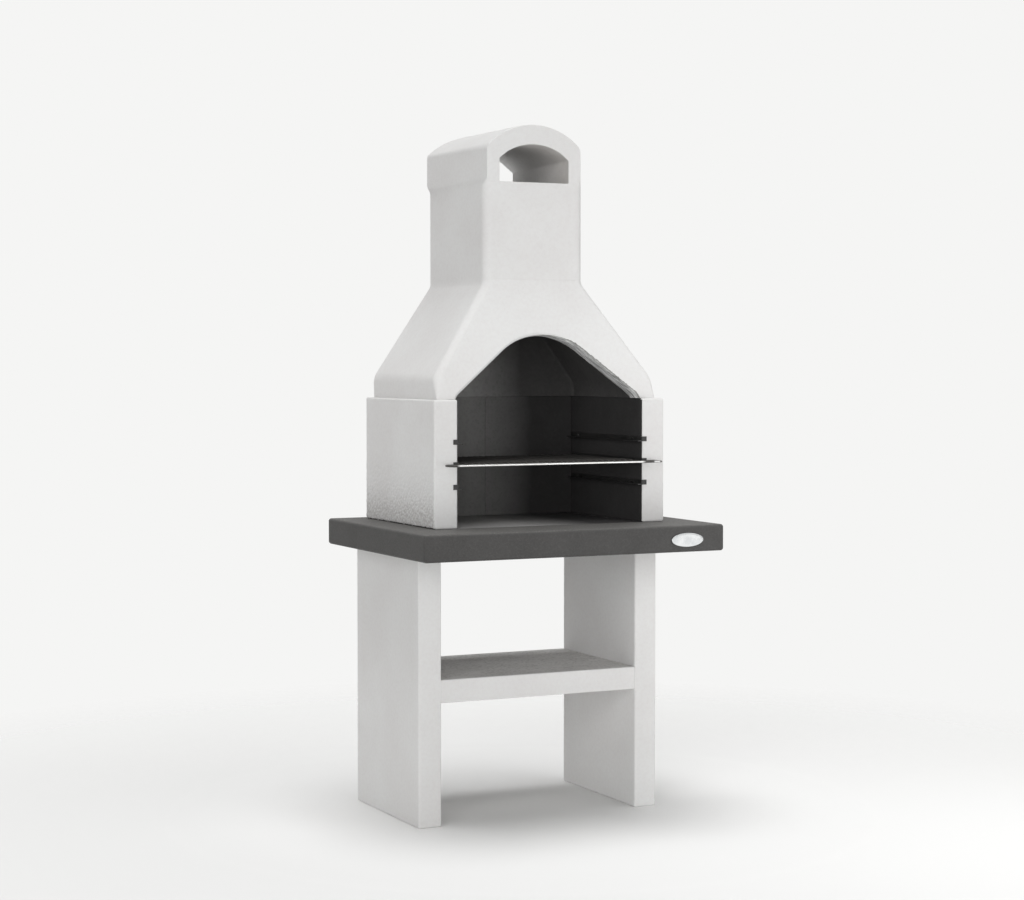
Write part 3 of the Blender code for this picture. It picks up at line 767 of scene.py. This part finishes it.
def buildShelf():
    low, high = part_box("shelf")
    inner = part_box("right_leg")[0].x
    shelf = addBlock("shelfCasting", (-inner, low.y, low.z), (inner, high.y, high.z))
    bevelWhere(shelf, lambda edge: abs(edge.verts[0].co.x - edge.verts[1].co.x) > inner,
               shelfValues["edge"], shelfValues["edgeSteps"])
    cutCells(shelf, shelfValues["cell"])
    front, back, bottom, top = tongueRange()
    combine(shelf, addBlock("tongues", (low.x, front, bottom), (high.x, back, top)))
    finishCasting(shelf, "paint", "shelf")
    # The bare top is whitish concrete, painted paler still as light against the shade the worktop casts on it
    paintFaces(shelf, "bareTopPaintedLit", lambda place, normal: normal.z > shelfValues["bareFacing"])


buildShelf()


def buildFillers():
    low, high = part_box("shelf")
    inner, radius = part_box("right_leg")[0].x, legValues["edge"]
    bottom, top = low.z + shelfValues["edge"], high.z - shelfValues["edge"]
    for side, hand in sides:
        for end, y, turn in (("Front", low.y, 1), ("Back", high.y, -1)):
            name = f"jointFiller{hand.capitalize()}{end}"
            xs, ys = sorted((side * inner, side * (inner + radius))), sorted((y, y + turn * radius))
            filler = addBlock(name, (xs[0], ys[0], bottom), (xs[1], ys[1], top))
            place = (side * (inner + radius), y + turn * radius, (bottom + top) / 2)
            depth = top - bottom + 2 * overrun
            cutAway(filler, addCylinder("arris", radius, depth, shelfValues["arrisSides"], location=place))
            smoothShade(filler, False)
            finishPiece(filler, "paint")


buildFillers()
print("shelf built")


# Worktop: thick slab with soft arrises and a pocket for the hearth
worktopValues = {"edge": 0.008, "edgeSteps": 6, "cell": 0.012, "litTopFacing": 0.7}


def buildWorktop():
    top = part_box("worktop")[1].z
    worktop = castSlab("worktopCasting", "worktop", worktopValues)
    left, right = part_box("hearth_slab_left")[0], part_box("hearth_slab_right")[1]
    cutAway(worktop, addBlock("pocket", (left.x - gap, left.y - gap, left.z - gap),
                              (right.x + gap, right.y + gap, top + overrun)))
    finishCasting(worktop, "worktopShadedSides", "worktop")
    # The ground top is painted paler than the sides, as light from above; the sides are painted darker, as
    # shade
    paintFaces(worktop, "worktopLitTop", lambda place, normal: normal.z > worktopValues["litTopFacing"])


buildWorktop()
print("worktop built")


# Cheeks: slabs rebated for the linings, their outer sides thrown with roughcast that thins out upward. The
# values named Facing tell sides, fronts and tops apart by their normals
cheekValues = {
    "edge": 0.004, "edgeSteps": 4, "cell": 0.0035, "fullReach": 0.05, "endReach": 0.24,
    "topShare": 0.12, "frontShare": 0.10, "backShare": 0.7, "chipReach": 0.005, "darkReach": 0.005,
    "outerFacing": 0.7, "innerFacing": 0.3, "levelFacing": 0.6, "frontFacing": 0.6, "slightFacing": 0.2,
}
roughcast = {"pattern": "VORONOI", "sizeMm": 10, "level": 1.0, "height": -0.0018}
trowelled = {"pattern": "CLOUDS", "sizeMm": 26, "level": 0.5, "height": 0.0006}
chipped = {"pattern": "CLOUDS", "sizeMm": 11, "level": 0.25, "height": -0.0055}


def buildCheek(side, hand):
    v, node = cheekValues, hand + "_cheek"
    low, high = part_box(node)
    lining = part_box("lining_" + hand)
    cheek = castSlab(hand + "CheekCasting", node, v)
    face = lining[1].x + gap if side > 0 else lining[0].x - gap
    inner = low.x if side > 0 else high.x
    reach = sorted((inner - side * overrun, face))
    cutAway(cheek, addBlock("rebate", (reach[0], lining[0].y - gap, low.z - overrun),
                            (reach[1], high.y + overrun, high.z + overrun)))

    def thrown(place, normal):
        # Full on the outer side, less on the front and back, and none inside, on top or below
        fade = (place.z - low.z - v["fullReach"]) / (v["endReach"] - v["fullReach"])
        share = between(1, v["topShare"], min(1, max(0, fade)))
        if normal.x * side < -v["innerFacing"] or abs(normal.z) > v["levelFacing"]:
            return 0.0
        back = v["backShare"] * share * normal.y
        return max(0.0, share * normal.x * side, v["frontShare"] * -normal.y, back)

    def onFoot(place, normal):
        # The ragged outer foot, pressed in at the gap under the cheek, where the roughcast finish paints a
        # dark line of mortar and the gap's shade
        height = 1 - (place.z - low.z) / v["chipReach"]
        return min(1.0, max(0.0, height)) if normal.x * side > v["slightFacing"] else 0.0

    def onInside(place, normal):
        aside = normal.y > -v["frontFacing"] and normal.z < v["slightFacing"]
        return aside and (place.x - inner) * side < v["darkReach"]

    sculpt(cheek, "roughcast", roughcast, thrown)
    sculpt(cheek, "trowelled", trowelled, thrown)
    sculpt(cheek, "chipped", chipped, onFoot)
    finishCasting(cheek, "paint", node, False)
    paintFaces(cheek, "roughcast", lambda place, normal: normal.x * side > v["outerFacing"])
    paintFaces(cheek, "refractory", onInside)


for side, hand in sides:
    buildCheek(side, hand)
print("cheeks built")


# Rear wall, linings and hearth: plain slabs with sharp arrises
rearWallValues = {"edge": 0.003, "edgeSteps": 3, "cell": 0.015}
liningValues = {"edge": 0.0015, "edgeSteps": 3, "cell": 0.015}
liningNames = {"lining_": "liningSlab", "rear_lining_": "rearLiningSlab", "hearth_slab_": "hearthSlab"}


def buildSlabs():
    wall = castSlab("rearWallCasting", "rear_wall", rearWallValues)
    finishCasting(wall, "paint", "rear_wall")
    for node, name in liningNames.items():
        for side, hand in sides:
            slab = castSlab(name + hand.capitalize(), node + hand, liningValues)
            finishCasting(slab, "refractory", node + hand)


buildSlabs()
print("rear wall, linings and hearth built")


# Hood and chimney: hollow castings with round front arrises
hoodValues = {
    "bandHeight": 0.0635, "bandRadius": 0.060, "neckHeight": 0.012, "neckRadius": 0.034,
    "frontRadius": 0.024, "backRadius": 0.008, "cornerSteps": 8,
    "sideWall": 0.055, "faceWall": 0.050, "throatStart": 0.040, "throatEnd": 0.045, "flueRadius": 0.010,
    "backInset": 0.016, "sootInset": 0.045, "mouthInset": 0.030, "faceDepth": 0.00003,
}
archValues = {
    "width": 0.620, "height": 0.1915, "crownRadius": 0.212, "haunchAngle": math.radians(38.5),
    "footRadius": 0.042, "lip": 0.013, "lipSteps": 8, "crownSteps": 18, "footSteps": 8,
    "frontFacing": 0.8, "soffitFacing": 0.05,
}


def outlineAt(halves, ends, radii, height):
    # A level outline with round corners; each pair gives the front's value and the back's
    (frontHalf, backHalf), (front, back), (frontRadius, backRadius) = halves, ends, radii
    corners = ((frontHalf, front), (backHalf, back), (-backHalf, back), (-frontHalf, front))
    path = roundedPath(corners, (frontRadius, backRadius, backRadius, frontRadius), hoodValues["cornerSteps"])
    return [(x, y, height) for x, y in path]


def findHoodPlaces():
    low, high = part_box("hood")
    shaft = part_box("chimney_shaft")
    return {"bottom": low.z, "top": high.z, "half": high.x, "topHalf": shaft[1].x, "front": low.y,
            "topFront": shaft[0].y, "back": shaft[1].y - hoodValues["backInset"], "topBack": shaft[1].y}


hoodPlaces = findHoodPlaces()


def hoodAt(part, height):
    # Where the hood's front or back is at a height, or its half width if its sides ran straight
    p = hoodPlaces
    share = (height - p["bottom"]) / (p["top"] - p["bottom"])
    return between(p[part], p["top" + part.capitalize()], share)


def archOutline():
    v = archValues
    bottom = hoodPlaces["bottom"]
    centre = bottom + v["height"] - v["crownRadius"]
    footX = v["width"] / 2 - v["footRadius"]
    lean, rise = math.sin(v["haunchAngle"]), math.cos(v["haunchAngle"])
    footZ = centre + (v["crownRadius"] - v["footRadius"] - lean * footX) / rise
    start = math.pi / 2 - v["haunchAngle"]
    half = [(v["width"] / 2, bottom - v["footRadius"])]
    half += arc((footX, footZ), v["footRadius"], 0, start, v["footSteps"])
    half += arc((0, centre), v["crownRadius"], start, math.pi / 2, v["crownSteps"])[:-1]
    return mirrored(half + [(0, centre + v["crownRadius"])])


def buildHood():
    v, p = hoodValues, hoodPlaces

    def skin(corners, wall, frontRadiusAt, backRadius):
        path = roundedPath(corners, (0, v["bandRadius"], v["neckRadius"], 0), v["cornerSteps"])
        return [outlineAt((x, x), (hoodAt("front", z) + wall, hoodAt("back", z) - wall),
                          (frontRadiusAt(z), backRadius), z) for x, z in path]

    def frontRadiusAt(z):
        # The front arrises start nearly square on the cheeks and are round from the top of the band
        return between(v["backRadius"], v["frontRadius"], min(1, (z - p["bottom"]) / v["bandHeight"]))

    outside = ((p["half"], p["bottom"]), (p["half"], p["bottom"] + v["bandHeight"]),
               (p["topHalf"], p["top"] - v["neckHeight"]), (p["topHalf"], p["top"] + bridge))
    hood = loft("hoodCasting", skin(outside, 0, frontRadiusAt, v["backRadius"]))
    innerHalf = p["half"] - v["sideWall"]
    flueHalf = p["topHalf"] - v["faceWall"]
    inside = ((innerHalf, p["bottom"] - overrun), (innerHalf, p["bottom"] + v["throatStart"]),
              (flueHalf, p["top"] - v["throatEnd"]), (flueHalf, p["top"] + overrun))
    cutAway(hood, loft("hollow", skin(inside, v["faceWall"], lambda z: v["flueRadius"], v["flueRadius"])))
    reach = (p["front"] - overrun, p["topFront"] + v["faceWall"] / 2)
    cutAway(hood, loft("mouth", [upright(archOutline(), y) for y in reach]))
    mergeFlat(hood)

    # Round the mouth's lip: the edges between the leaning front face and the arch's soffit
    def onLip(edge):
        if len(edge.link_faces) != 2 or middle(edge).z < p["bottom"] + weldDistance:
            return False
        if any(abs(vert.co.y - hoodAt("front", vert.co.z)) > near for vert in edge.verts):
            return False
        facings = sorted(face.normal.y for face in edge.link_faces)
        return facings[0] < -archValues["frontFacing"] and abs(facings[1]) < archValues["soffitFacing"]

    edit(hood)
    selectWhere(hood, "EDGE", onLip)
    bevelEdges(archValues["lip"], archValues["lipSteps"])
    weldPoints()
    leaveEdit()
    smoothShade(hood)
    finishPiece(hood, "paint", ["hood"])

    def inMouth(place, normal):
        # The lip and soffit, the hollow, and the faces that look into it
        inFront = place.y - hoodAt("front", place.z) < v["faceDepth"]
        behind = place.y > hoodAt("back", place.z) - margin
        underneath = normal.z < -squareOn and place.z < p["bottom"] + margin
        within = abs(place.x) < hoodAt("half", place.z) - v["mouthInset"] and place.z < p["top"] - margin
        return within and not (inFront or behind or underneath)

    paintFaces(hood, "hoodMouth", inMouth)


buildHood()
print("hood built")


def buildShaft():
    v = hoodValues
    low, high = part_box("chimney_shaft")

    def rings(wall, radii, reach):
        half = high.x - wall
        return [outlineAt((half, half), (low.y + wall, high.y - wall), radii, z)
                for z in (low.z - reach, high.z + reach)]

    shaft = loft("chimneyShaftCasting", rings(0, (v["frontRadius"], v["backRadius"]), bridge))
    cutAway(shaft, loft("flue", rings(v["faceWall"], (v["flueRadius"], v["flueRadius"]), overrun)))
    smoothShade(shaft)
    finishPiece(shaft, "paint", ["chimney_shaft"])
    inset = v["sootInset"]
    paintFaces(shaft, "soot", lambda place, normal: abs(normal.z) < squareOn
               and abs(place.x) < high.x - inset and low.y + inset < place.y < high.y - inset)


buildShaft()
print("chimney shaft built")


# Cap: a vault over a cross vent, drawn in a little to the front, on a foot that eases into the shaft
capValues = {
    "frontWidth": 0.320, "backWidth": 0.357, "frontRoof": 0.222, "backRoof": 0.262, "roofThickness": 0.060,
    "frontShoulder": 0.030, "backShoulder": 0.014, "edge": 0.0035, "edgeSteps": 4,
    "frontVent": 0.236, "backVent": 0.252, "ventRadius": 0.180, "ventEdge": 0.0025, "ventEdgeSteps": 3,
    "ventPeak": 1.12, "crownFrom": math.radians(60), "crownTo": math.radians(120), "ventInset": 0.004,
    "sillHeight": 0.017, "flueInset": 0.008, "arcSteps": 20, "shoulderSteps": 8,
    "footHeight": 0.030, "footSteps": 8, "ventCorner": 0.010, "sillCorner": 0.004, "cornerSteps": 5,
}


def capFoot(low, high):
    # Rings that ease from the shaft's outline to the cap's, its corners growing sharp on the way
    v, shaftHalf = capValues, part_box("chimney_shaft")[1].x
    rings = []
    for i in range(v["footSteps"] + 1):
        rise = i / v["footSteps"]
        share = rise * rise * (3 - 2 * rise)
        halves = [between(shaftHalf, v[end + "Width"] / 2, share) for end in ("front", "back")]
        radii = [between(hoodValues[end + "Radius"], v["edge"], share) for end in ("front", "back")]
        height = between(low.z - bridge, low.z + v["footHeight"], rise)
        rings.append(outlineAt(halves, (low.y, high.y), radii, height))
    return loft("capFoot", rings)


def buildCap():
    v = capValues
    low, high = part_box("chimney_cap")
    start = low.z + v["footHeight"] - gap

    def outline(end, y):
        shoulder, roof, edge = v[end + "Shoulder"], v[end + "Roof"], v[end + "Width"] / 2
        middleZ = high.z - roof
        x = edge - shoulder
        z = middleZ + math.sqrt((roof - shoulder) ** 2 - x ** 2)
        turn = math.atan2(z - middleZ, x)
        half = [(edge, start)] + arc((x, z), shoulder, 0, turn, v["shoulderSteps"])
        half += arc((0, middleZ), roof, turn, math.pi / 2, v["arcSteps"])[1:-1]
        return upright(mirrored(half + [(0, high.z)]), y)

    def atEnd(edge, reach):
        places = [vert.co.y for vert in edge.verts]
        return max(places) < low.y + reach or min(places) > high.y - reach

    cap = loft("chimneyCapCasting", [outline("front", low.y), outline("back", high.y)])
    bevelWhere(cap, lambda edge: middle(edge).z > start + margin and atEnd(edge, margin),
               v["edge"], v["edgeSteps"])
    combine(cap, capFoot(low, high))

    radius = v["ventRadius"]
    centre = high.z - v["roofThickness"] - radius
    sill = low.z + v["sillHeight"]

    def halfAt(y):
        return between(v["frontVent"], v["backVent"], (y - low.y) / (high.y - low.y)) / 2

    def ventRing(y):
        half = halfAt(y)
        spring = math.sqrt(radius ** 2 - half ** 2)
        corners = ((half, sill), (half, centre + spring), (0, centre + radius * v["ventPeak"]),
                   (-half, centre + spring), (-half, sill))
        radii = (v["sillCorner"], v["ventCorner"], 0, v["ventCorner"], v["sillCorner"])
        path = roundedPath(corners, radii, v["cornerSteps"])
        crown = arc((0, centre), radius, v["crownFrom"], v["crownTo"], v["arcSteps"])
        under = [p for p in path if p[1] < crown[0][1]]
        return upright([p for p in under if p[0] > 0] + crown + [p for p in under if p[0] < 0], y)

    cutAway(cap, loft("vent", [ventRing(low.y - overrun), ventRing(high.y + overrun)]))
    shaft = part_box("chimney_shaft")
    wall = hoodValues["faceWall"]
    hole = v["frontVent"] / 2 - v["flueInset"]
    cutAway(cap, addBlock("hole", (-hole, shaft[0].y + wall, low.z - overrun),
                          (hole, shaft[1].y - wall, sill + overrun)))
    mergeFlat(cap)

    def onVentMouth(edge):
        return atEnd(edge, near) and all(
            abs(vert.co.x) < halfAt(vert.co.y) + margin
            and sill - margin < vert.co.z < centre + radius + margin for vert in edge.verts)

    bevelWhere(cap, onVentMouth, v["ventEdge"], v["ventEdgeSteps"])
    smoothShade(cap)
    finishPiece(cap, "paint", ["chimney_cap"])
    inset = v["ventInset"]
    paintFaces(cap, "ventGrey", lambda place, normal: abs(place.x) < halfAt(place.y) + inset
               and (place.x ** 2 + (place.z - centre) ** 2) ** 0.5 < radius + inset
               and low.y + inset < place.y < high.y - inset and place.z > low.z + margin)


buildCap()
print("chimney cap built")


# Oval plate: raised rim round a bare field
badgeValues = {
    "points": 96, "rim": 0.0045, "fieldDepth": 0.0009, "fieldEdge": 0.0006, "edge": 0.0009, "edgeSteps": 3,
}


def buildBadge():
    v = badgeValues
    low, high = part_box("badge_plate")
    size, centre = high - low, (low + high) / 2
    plate = addPrimitive("ovalPlate", bpy.ops.mesh.primitive_circle_add, (size.x, size.z, 1),
                         radius=0.5, vertices=v["points"], fill_type="NGON", location=centre,
                         rotation=(math.pi / 2, 0, 0))
    edit(plate)
    selectAll()
    bpy.ops.transform.translate(value=(0, size.y / 2, 0))
    extrude(0, -size.y, 0)
    bpy.ops.mesh.inset(thickness=v["rim"])
    bpy.ops.transform.translate(value=(0, v["fieldDepth"], 0))
    bpy.ops.mesh.inset(thickness=v["fieldEdge"])
    faceOutward()
    leaveEdit()
    breakFolds(plate, v["edge"], v["edgeSteps"])
    smoothShade(plate)
    finishPiece(plate, "badge", ["badge_plate"])


buildBadge()
print("plate built")


# Rails: folded angles with a tab turned over the cheek's front
railValues = {"sheet": 0.0025, "bend": 0.0024, "bendSteps": 4, "edge": 0.0004, "edgeSteps": 2}
railLevels = ("lower", "middle", "upper")


def copyOf(piece, name):
    copied = addObject(name, piece.data.copy())
    copied.data.name = name
    return copied


def buildRailMaster(side):
    v = railValues
    sheet = v["sheet"]
    low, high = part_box("rail_right_lower")
    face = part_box("right_cheek")[0].x - gap
    rail = addBlock("railMaster", (face - sheet, low.y, 0), (face, high.y, high.z - low.z))
    edit(rail)
    for place, normal in (((0, 0, sheet), (0, 0, 1)), ((0, low.y + sheet, 0), (0, 1, 0))):
        selectAll()
        bpy.ops.mesh.bisect(plane_co=place, plane_no=normal)
    selectWhere(rail, "FACE", lambda part: part.normal.x < -squareOn and middle(part).z < sheet)
    extrude(sheet - (face - low.x), 0, 0)
    selectWhere(rail, "FACE", lambda part: part.normal.x > squareOn and middle(part).y < low.y + sheet)
    extrude(high.x - face, 0, 0)

    # The outer folds are round; everything else only loses its burr
    def onFold(edge):
        at = [vert.co for vert in edge.verts]
        under = all(abs(p.x - face) < near and p.z < near for p in at)
        turned = all(abs(p.x - face + sheet) < near and p.y < low.y + near for p in at)
        return under or (turned and min(p.z for p in at) > sheet / 2)

    selectWhere(rail, "EDGE", onFold)
    bevelEdges(v["bend"], v["bendSteps"])
    faceOutward()
    leaveEdit()
    breakFolds(rail, v["edge"], v["edgeSteps"])
    if side < 0:
        rail.scale.x = -1
        settle(rail)
        edit(rail)
        faceOutward()
        leaveEdit()
    smoothShade(rail)
    return rail


def buildRails():
    for side, hand in sides:
        master = buildRailMaster(side)
        for level in railLevels:
            node = f"rail_{hand}_{level}"
            rail = copyOf(master, f"{hand}Rail{level.capitalize()}")
            rail.location.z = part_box(node)[0].z
            finishPiece(rail, "coat", [node])
        bpy.data.objects.remove(master)


buildRails()
print("rails built")


# Rail screws: pan heads with a cross recess
screwValues = {
    "sides": 24, "headRadius": 0.0038, "headHeight": 0.0022, "dome": 0.0013, "domeSteps": 4,
    "shankRadius": 0.0020, "length": 0.038, "tip": 0.0030, "tipShare": 0.15,
    "crossLength": 0.0044, "crossWidth": 0.0009, "crossDepth": 0.0011, "turnEach": 37,
}


def buildScrewMaster():
    # Modelled upright, its head's underside at the origin
    v = screwValues
    top = v["headHeight"]
    screw = addCylinder("screwMaster", v["headRadius"], top, v["sides"], location=(0, 0, top / 2))
    edit(screw)
    selectWhere(screw, "EDGE", lambda edge: all(vert.co.z > top - near for vert in edge.verts))
    bevelEdges(v["dome"], v["domeSteps"])
    selectWhere(screw, "FACE", lambda face: face.normal.z < -squareOn)
    bpy.ops.mesh.inset(thickness=v["headRadius"] - v["shankRadius"])
    extrude(0, 0, v["tip"] - v["length"])
    extrude(0, 0, -v["tip"])
    bpy.ops.transform.resize(value=(v["tipShare"], v["tipShare"], 1), center_override=(0, 0, -v["length"]))
    leaveEdit()
    reach = Vector((v["crossLength"], v["crossWidth"], v["crossDepth"] * 2)) / 2
    for turn in (0, math.pi / 2):
        slot = addBlock("slot", -reach, reach)
        slot.rotation_euler.z = turn
        slot.location.z = top
        cutAway(screw, slot)
    smoothShade(screw)
    return screw


def buildScrews():
    master = buildScrewMaster()
    count = 0
    for side, hand in sides:
        for level in railLevels:
            for number in (1, 2):
                node = f"rail_screw_{hand}_{level}_{number}"
                low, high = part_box(node)
                centre = (low + high) / 2
                head = low.x if side > 0 else high.x
                screw = copyOf(master, f"{hand}Screw{level.capitalize()}{number}")
                turn = math.radians(screwValues["turnEach"] * count)
                screw.rotation_euler = (turn, -side * math.pi / 2, 0)
                screw.location = (head + side * screwValues["headHeight"], centre.y, centre.z)
                finishPiece(screw, "zinc", [node])
                count += 1
    bpy.data.objects.remove(master)


buildScrews()
print("screws built")


# Grate: one bent frame wire, two cross bars and a row of rods, welded where they cross
grateValues = {
    "wire": 0.006, "wireSteps": 4, "crossWire": 0.005, "rod": 0.004, "rodCount": 29, "rodSides": 12,
    "side": 0.30240, "earLine": -0.2073, "frameRadius": 0.015, "turnRadius": 0.005, "cornerSteps": 8,
    "firstBar": -0.1885, "rodMargin": 0.020, "rodOverhang": 0.002, "rodEnd": 0.0007, "rodEndSteps": 2,
    "weldSink": 0.0012, "weldSize": 0.0031, "weldShape": (1, 0.8, 0.6), "weldSteps": 2,
}


def addWire(name, start, end, diameter):
    # A straight round wire along X or Y, its ends cropped with a small chamfer
    v = grateValues
    start, end = Vector(start), Vector(end)
    run = end - start
    wire = addCylinder(name, diameter / 2, run.length, v["rodSides"], location=(start + end) / 2,
                       rotation=run.to_track_quat("Z", "Y").to_euler())
    # Only the ends have more than four corners
    bevelWhere(wire, lambda edge: any(len(face.verts) > 4 for face in edge.link_faces),
               v["rodEnd"], v["rodEndSteps"])
    return wire


def addFrameWire(level, front, back, ear):
    v = grateValues
    half = ((v["side"], back), (v["side"], v["earLine"]), (ear, v["earLine"]), (ear, front))
    corners = half + tuple((-x, y) for x, y in reversed(half))
    radii = (v["frameRadius"], v["turnRadius"], v["frameRadius"], v["frameRadius"])
    path = roundedPath(corners, radii + radii[::-1], v["cornerSteps"])
    curve = bpy.data.curves.new("frameWire", "CURVE")
    curve.dimensions = "3D"
    curve.bevel_depth = v["wire"] / 2
    curve.bevel_resolution = v["wireSteps"]
    spline = curve.splines.new("POLY")
    spline.points.add(len(path) - 1)
    for point, (x, y) in zip(spline.points, path):
        point.co = (x, y, level, 1)
    spline.use_cyclic_u = True
    makeActive(addObject("wireGrate", curve))
    bpy.ops.object.convert(target="MESH")
    return bpy.context.object


def buildGrate():
    v = grateValues
    low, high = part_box("grate")
    radius = v["wire"] / 2
    level, back = low.z + radius, high.y - v["rodOverhang"]
    grate = addFrameWire(level, low.y + radius, back, high.x - radius)

    wires = []
    bars = (v["firstBar"], (v["firstBar"] + back) / 2)
    for number, y in enumerate(bars):
        ends = ((-v["side"], y, level), (v["side"], y, level))
        wires.append(addWire(f"crossBar{number}", *ends, v["crossWire"]))
    lift = level + (v["wire"] + v["rod"]) / 2 - v["weldSink"]
    ends = ((0, v["firstBar"] - v["rodOverhang"], lift), (0, back + v["rodOverhang"], lift))
    rod = addWire("rod", *ends, v["rod"])
    weld = addPrimitive("weld", bpy.ops.mesh.primitive_ico_sphere_add, v["weldShape"],
                        subdivisions=v["weldSteps"], radius=v["weldSize"])
    weldLevel = lift - v["rod"] / 2 + v["weldSink"] / 2
    reach = v["side"] - v["rodMargin"]
    for i in range(v["rodCount"]):
        x = -reach + 2 * reach * i / (v["rodCount"] - 1)
        wires.append(copyOf(rod, f"rod{i}"))
        wires[-1].location.x = x
        for y in (*bars, back):
            wires.append(copyOf(weld, f"weld{i}"))
            wires[-1].location = (x, y, weldLevel)
    for master in (rod, weld):
        bpy.data.objects.remove(master)
    makeActive(grate)
    for wire in wires:
        wire.select_set(True)
    bpy.ops.object.join()
    smoothShade(grate, False)
    finishPiece(grate, "chrome", ["grate"], "grate")


buildGrate()
print("grate built")


# Floor, light and background
studio = {
    "floorRadius": 7.0, "floorSides": 96, "fadeSpan": (1.1, 2.8), "floorColour": "#f4f4f3",
    "floorRoughness": 0.9, "floorShine": 0.1, "background": "#f5f5f4", "skyStrength": 0.08,
}
# Far soft lamps: strength, width in degrees, and where each shines from
farLamps = {
    "overhead": (2.25, 42, (-0.03, -0.03, 1.0)),
    "frontLeft": (1.42, 44, (-0.8, -0.9, 0.18)),
}
# A wide soft panel near the right front, no brighter than the paper that metal sees behind it
nearPanel = {"watts": 22, "size": 2.4, "place": (1.7, -1.8, 1.35), "aim": (0.2, -0.2, 1.8)}


def addFloor():
    floor = addPrimitive("studioFloor", bpy.ops.mesh.primitive_circle_add, vertices=studio["floorSides"],
                         radius=studio["floorRadius"], fill_type="NGON")
    # Pale and matt near the object, and clear to the camera further out, where the background takes over
    material, coords = newMaterial("pale_studio_floor")
    shader = shaderOf(material)
    shader.inputs["Base Color"].default_value = hexColour(studio["floorColour"])
    shader.inputs["Roughness"].default_value = studio["floorRoughness"]
    shader.inputs["Specular IOR Level"].default_value = studio["floorShine"]
    reach = addNode("VectorMath", {0: coords["Object"]}, operation="LENGTH").outputs["Value"]
    fade = spread(reach, studio["fadeSpan"], 0, 1)
    seen = calc("MULTIPLY", fade, addNode("LightPath", tree=material.node_tree).outputs["Is Camera Ray"])
    clear = addNode("BsdfTransparent", tree=material.node_tree).outputs[0]
    blend = addNode("MixShader", {0: seen, 1: shader.outputs[0], 2: clear}).outputs[0]
    link(blend, material.node_tree.nodes["Material Output"].inputs["Surface"])
    floor.data.materials.append(material)


def addSky():
    # An even white sky lights the object, and the camera, gloss and glass see the paper behind it
    world = bpy.data.worlds.new("studioWorld")
    bpy.context.scene.world = world
    world.use_nodes = True
    world.node_tree.nodes.clear()
    path = addNode("LightPath", tree=world.node_tree).outputs
    seen = calc("MAXIMUM", path["Is Camera Ray"], path["Is Glossy Ray"])
    seen = calc("MAXIMUM", seen, path["Is Transmission Ray"])
    sky = addNode("Background", {"Color": "#ffffff", "Strength": studio["skyStrength"]}, world.node_tree)
    paper = addNode("Background", {"Color": studio["background"], "Strength": 1.0}, world.node_tree)
    mix = addNode("MixShader", {0: seen, 1: sky.outputs[0], 2: paper.outputs[0]})
    addNode("OutputWorld", {"Surface": mix.outputs[0]})


def addLamp(name, kind, shinesFrom, **settings):
    lamp = addObject(name, bpy.data.lights.new(name, kind))
    for key, value in settings.items():
        setattr(lamp.data, key, value)
    lamp.rotation_euler = Vector(shinesFrom).to_track_quat("Z", "Y").to_euler()
    return lamp


def addLamps():
    for name, (strength, width, shinesFrom) in farLamps.items():
        addLamp(name, "SUN", shinesFrom, energy=strength, angle=math.radians(width))
    v = nearPanel
    turn = Vector(v["place"]) - Vector(v["aim"])
    panel = addLamp("nearPanel", "AREA", turn, energy=v["watts"], size=v["size"])
    panel.location = v["place"]
    panel.visible_camera = False


addFloor()
addSky()
addLamps()
bpy.context.scene.view_settings.view_transform = "Standard"
print("studio made")
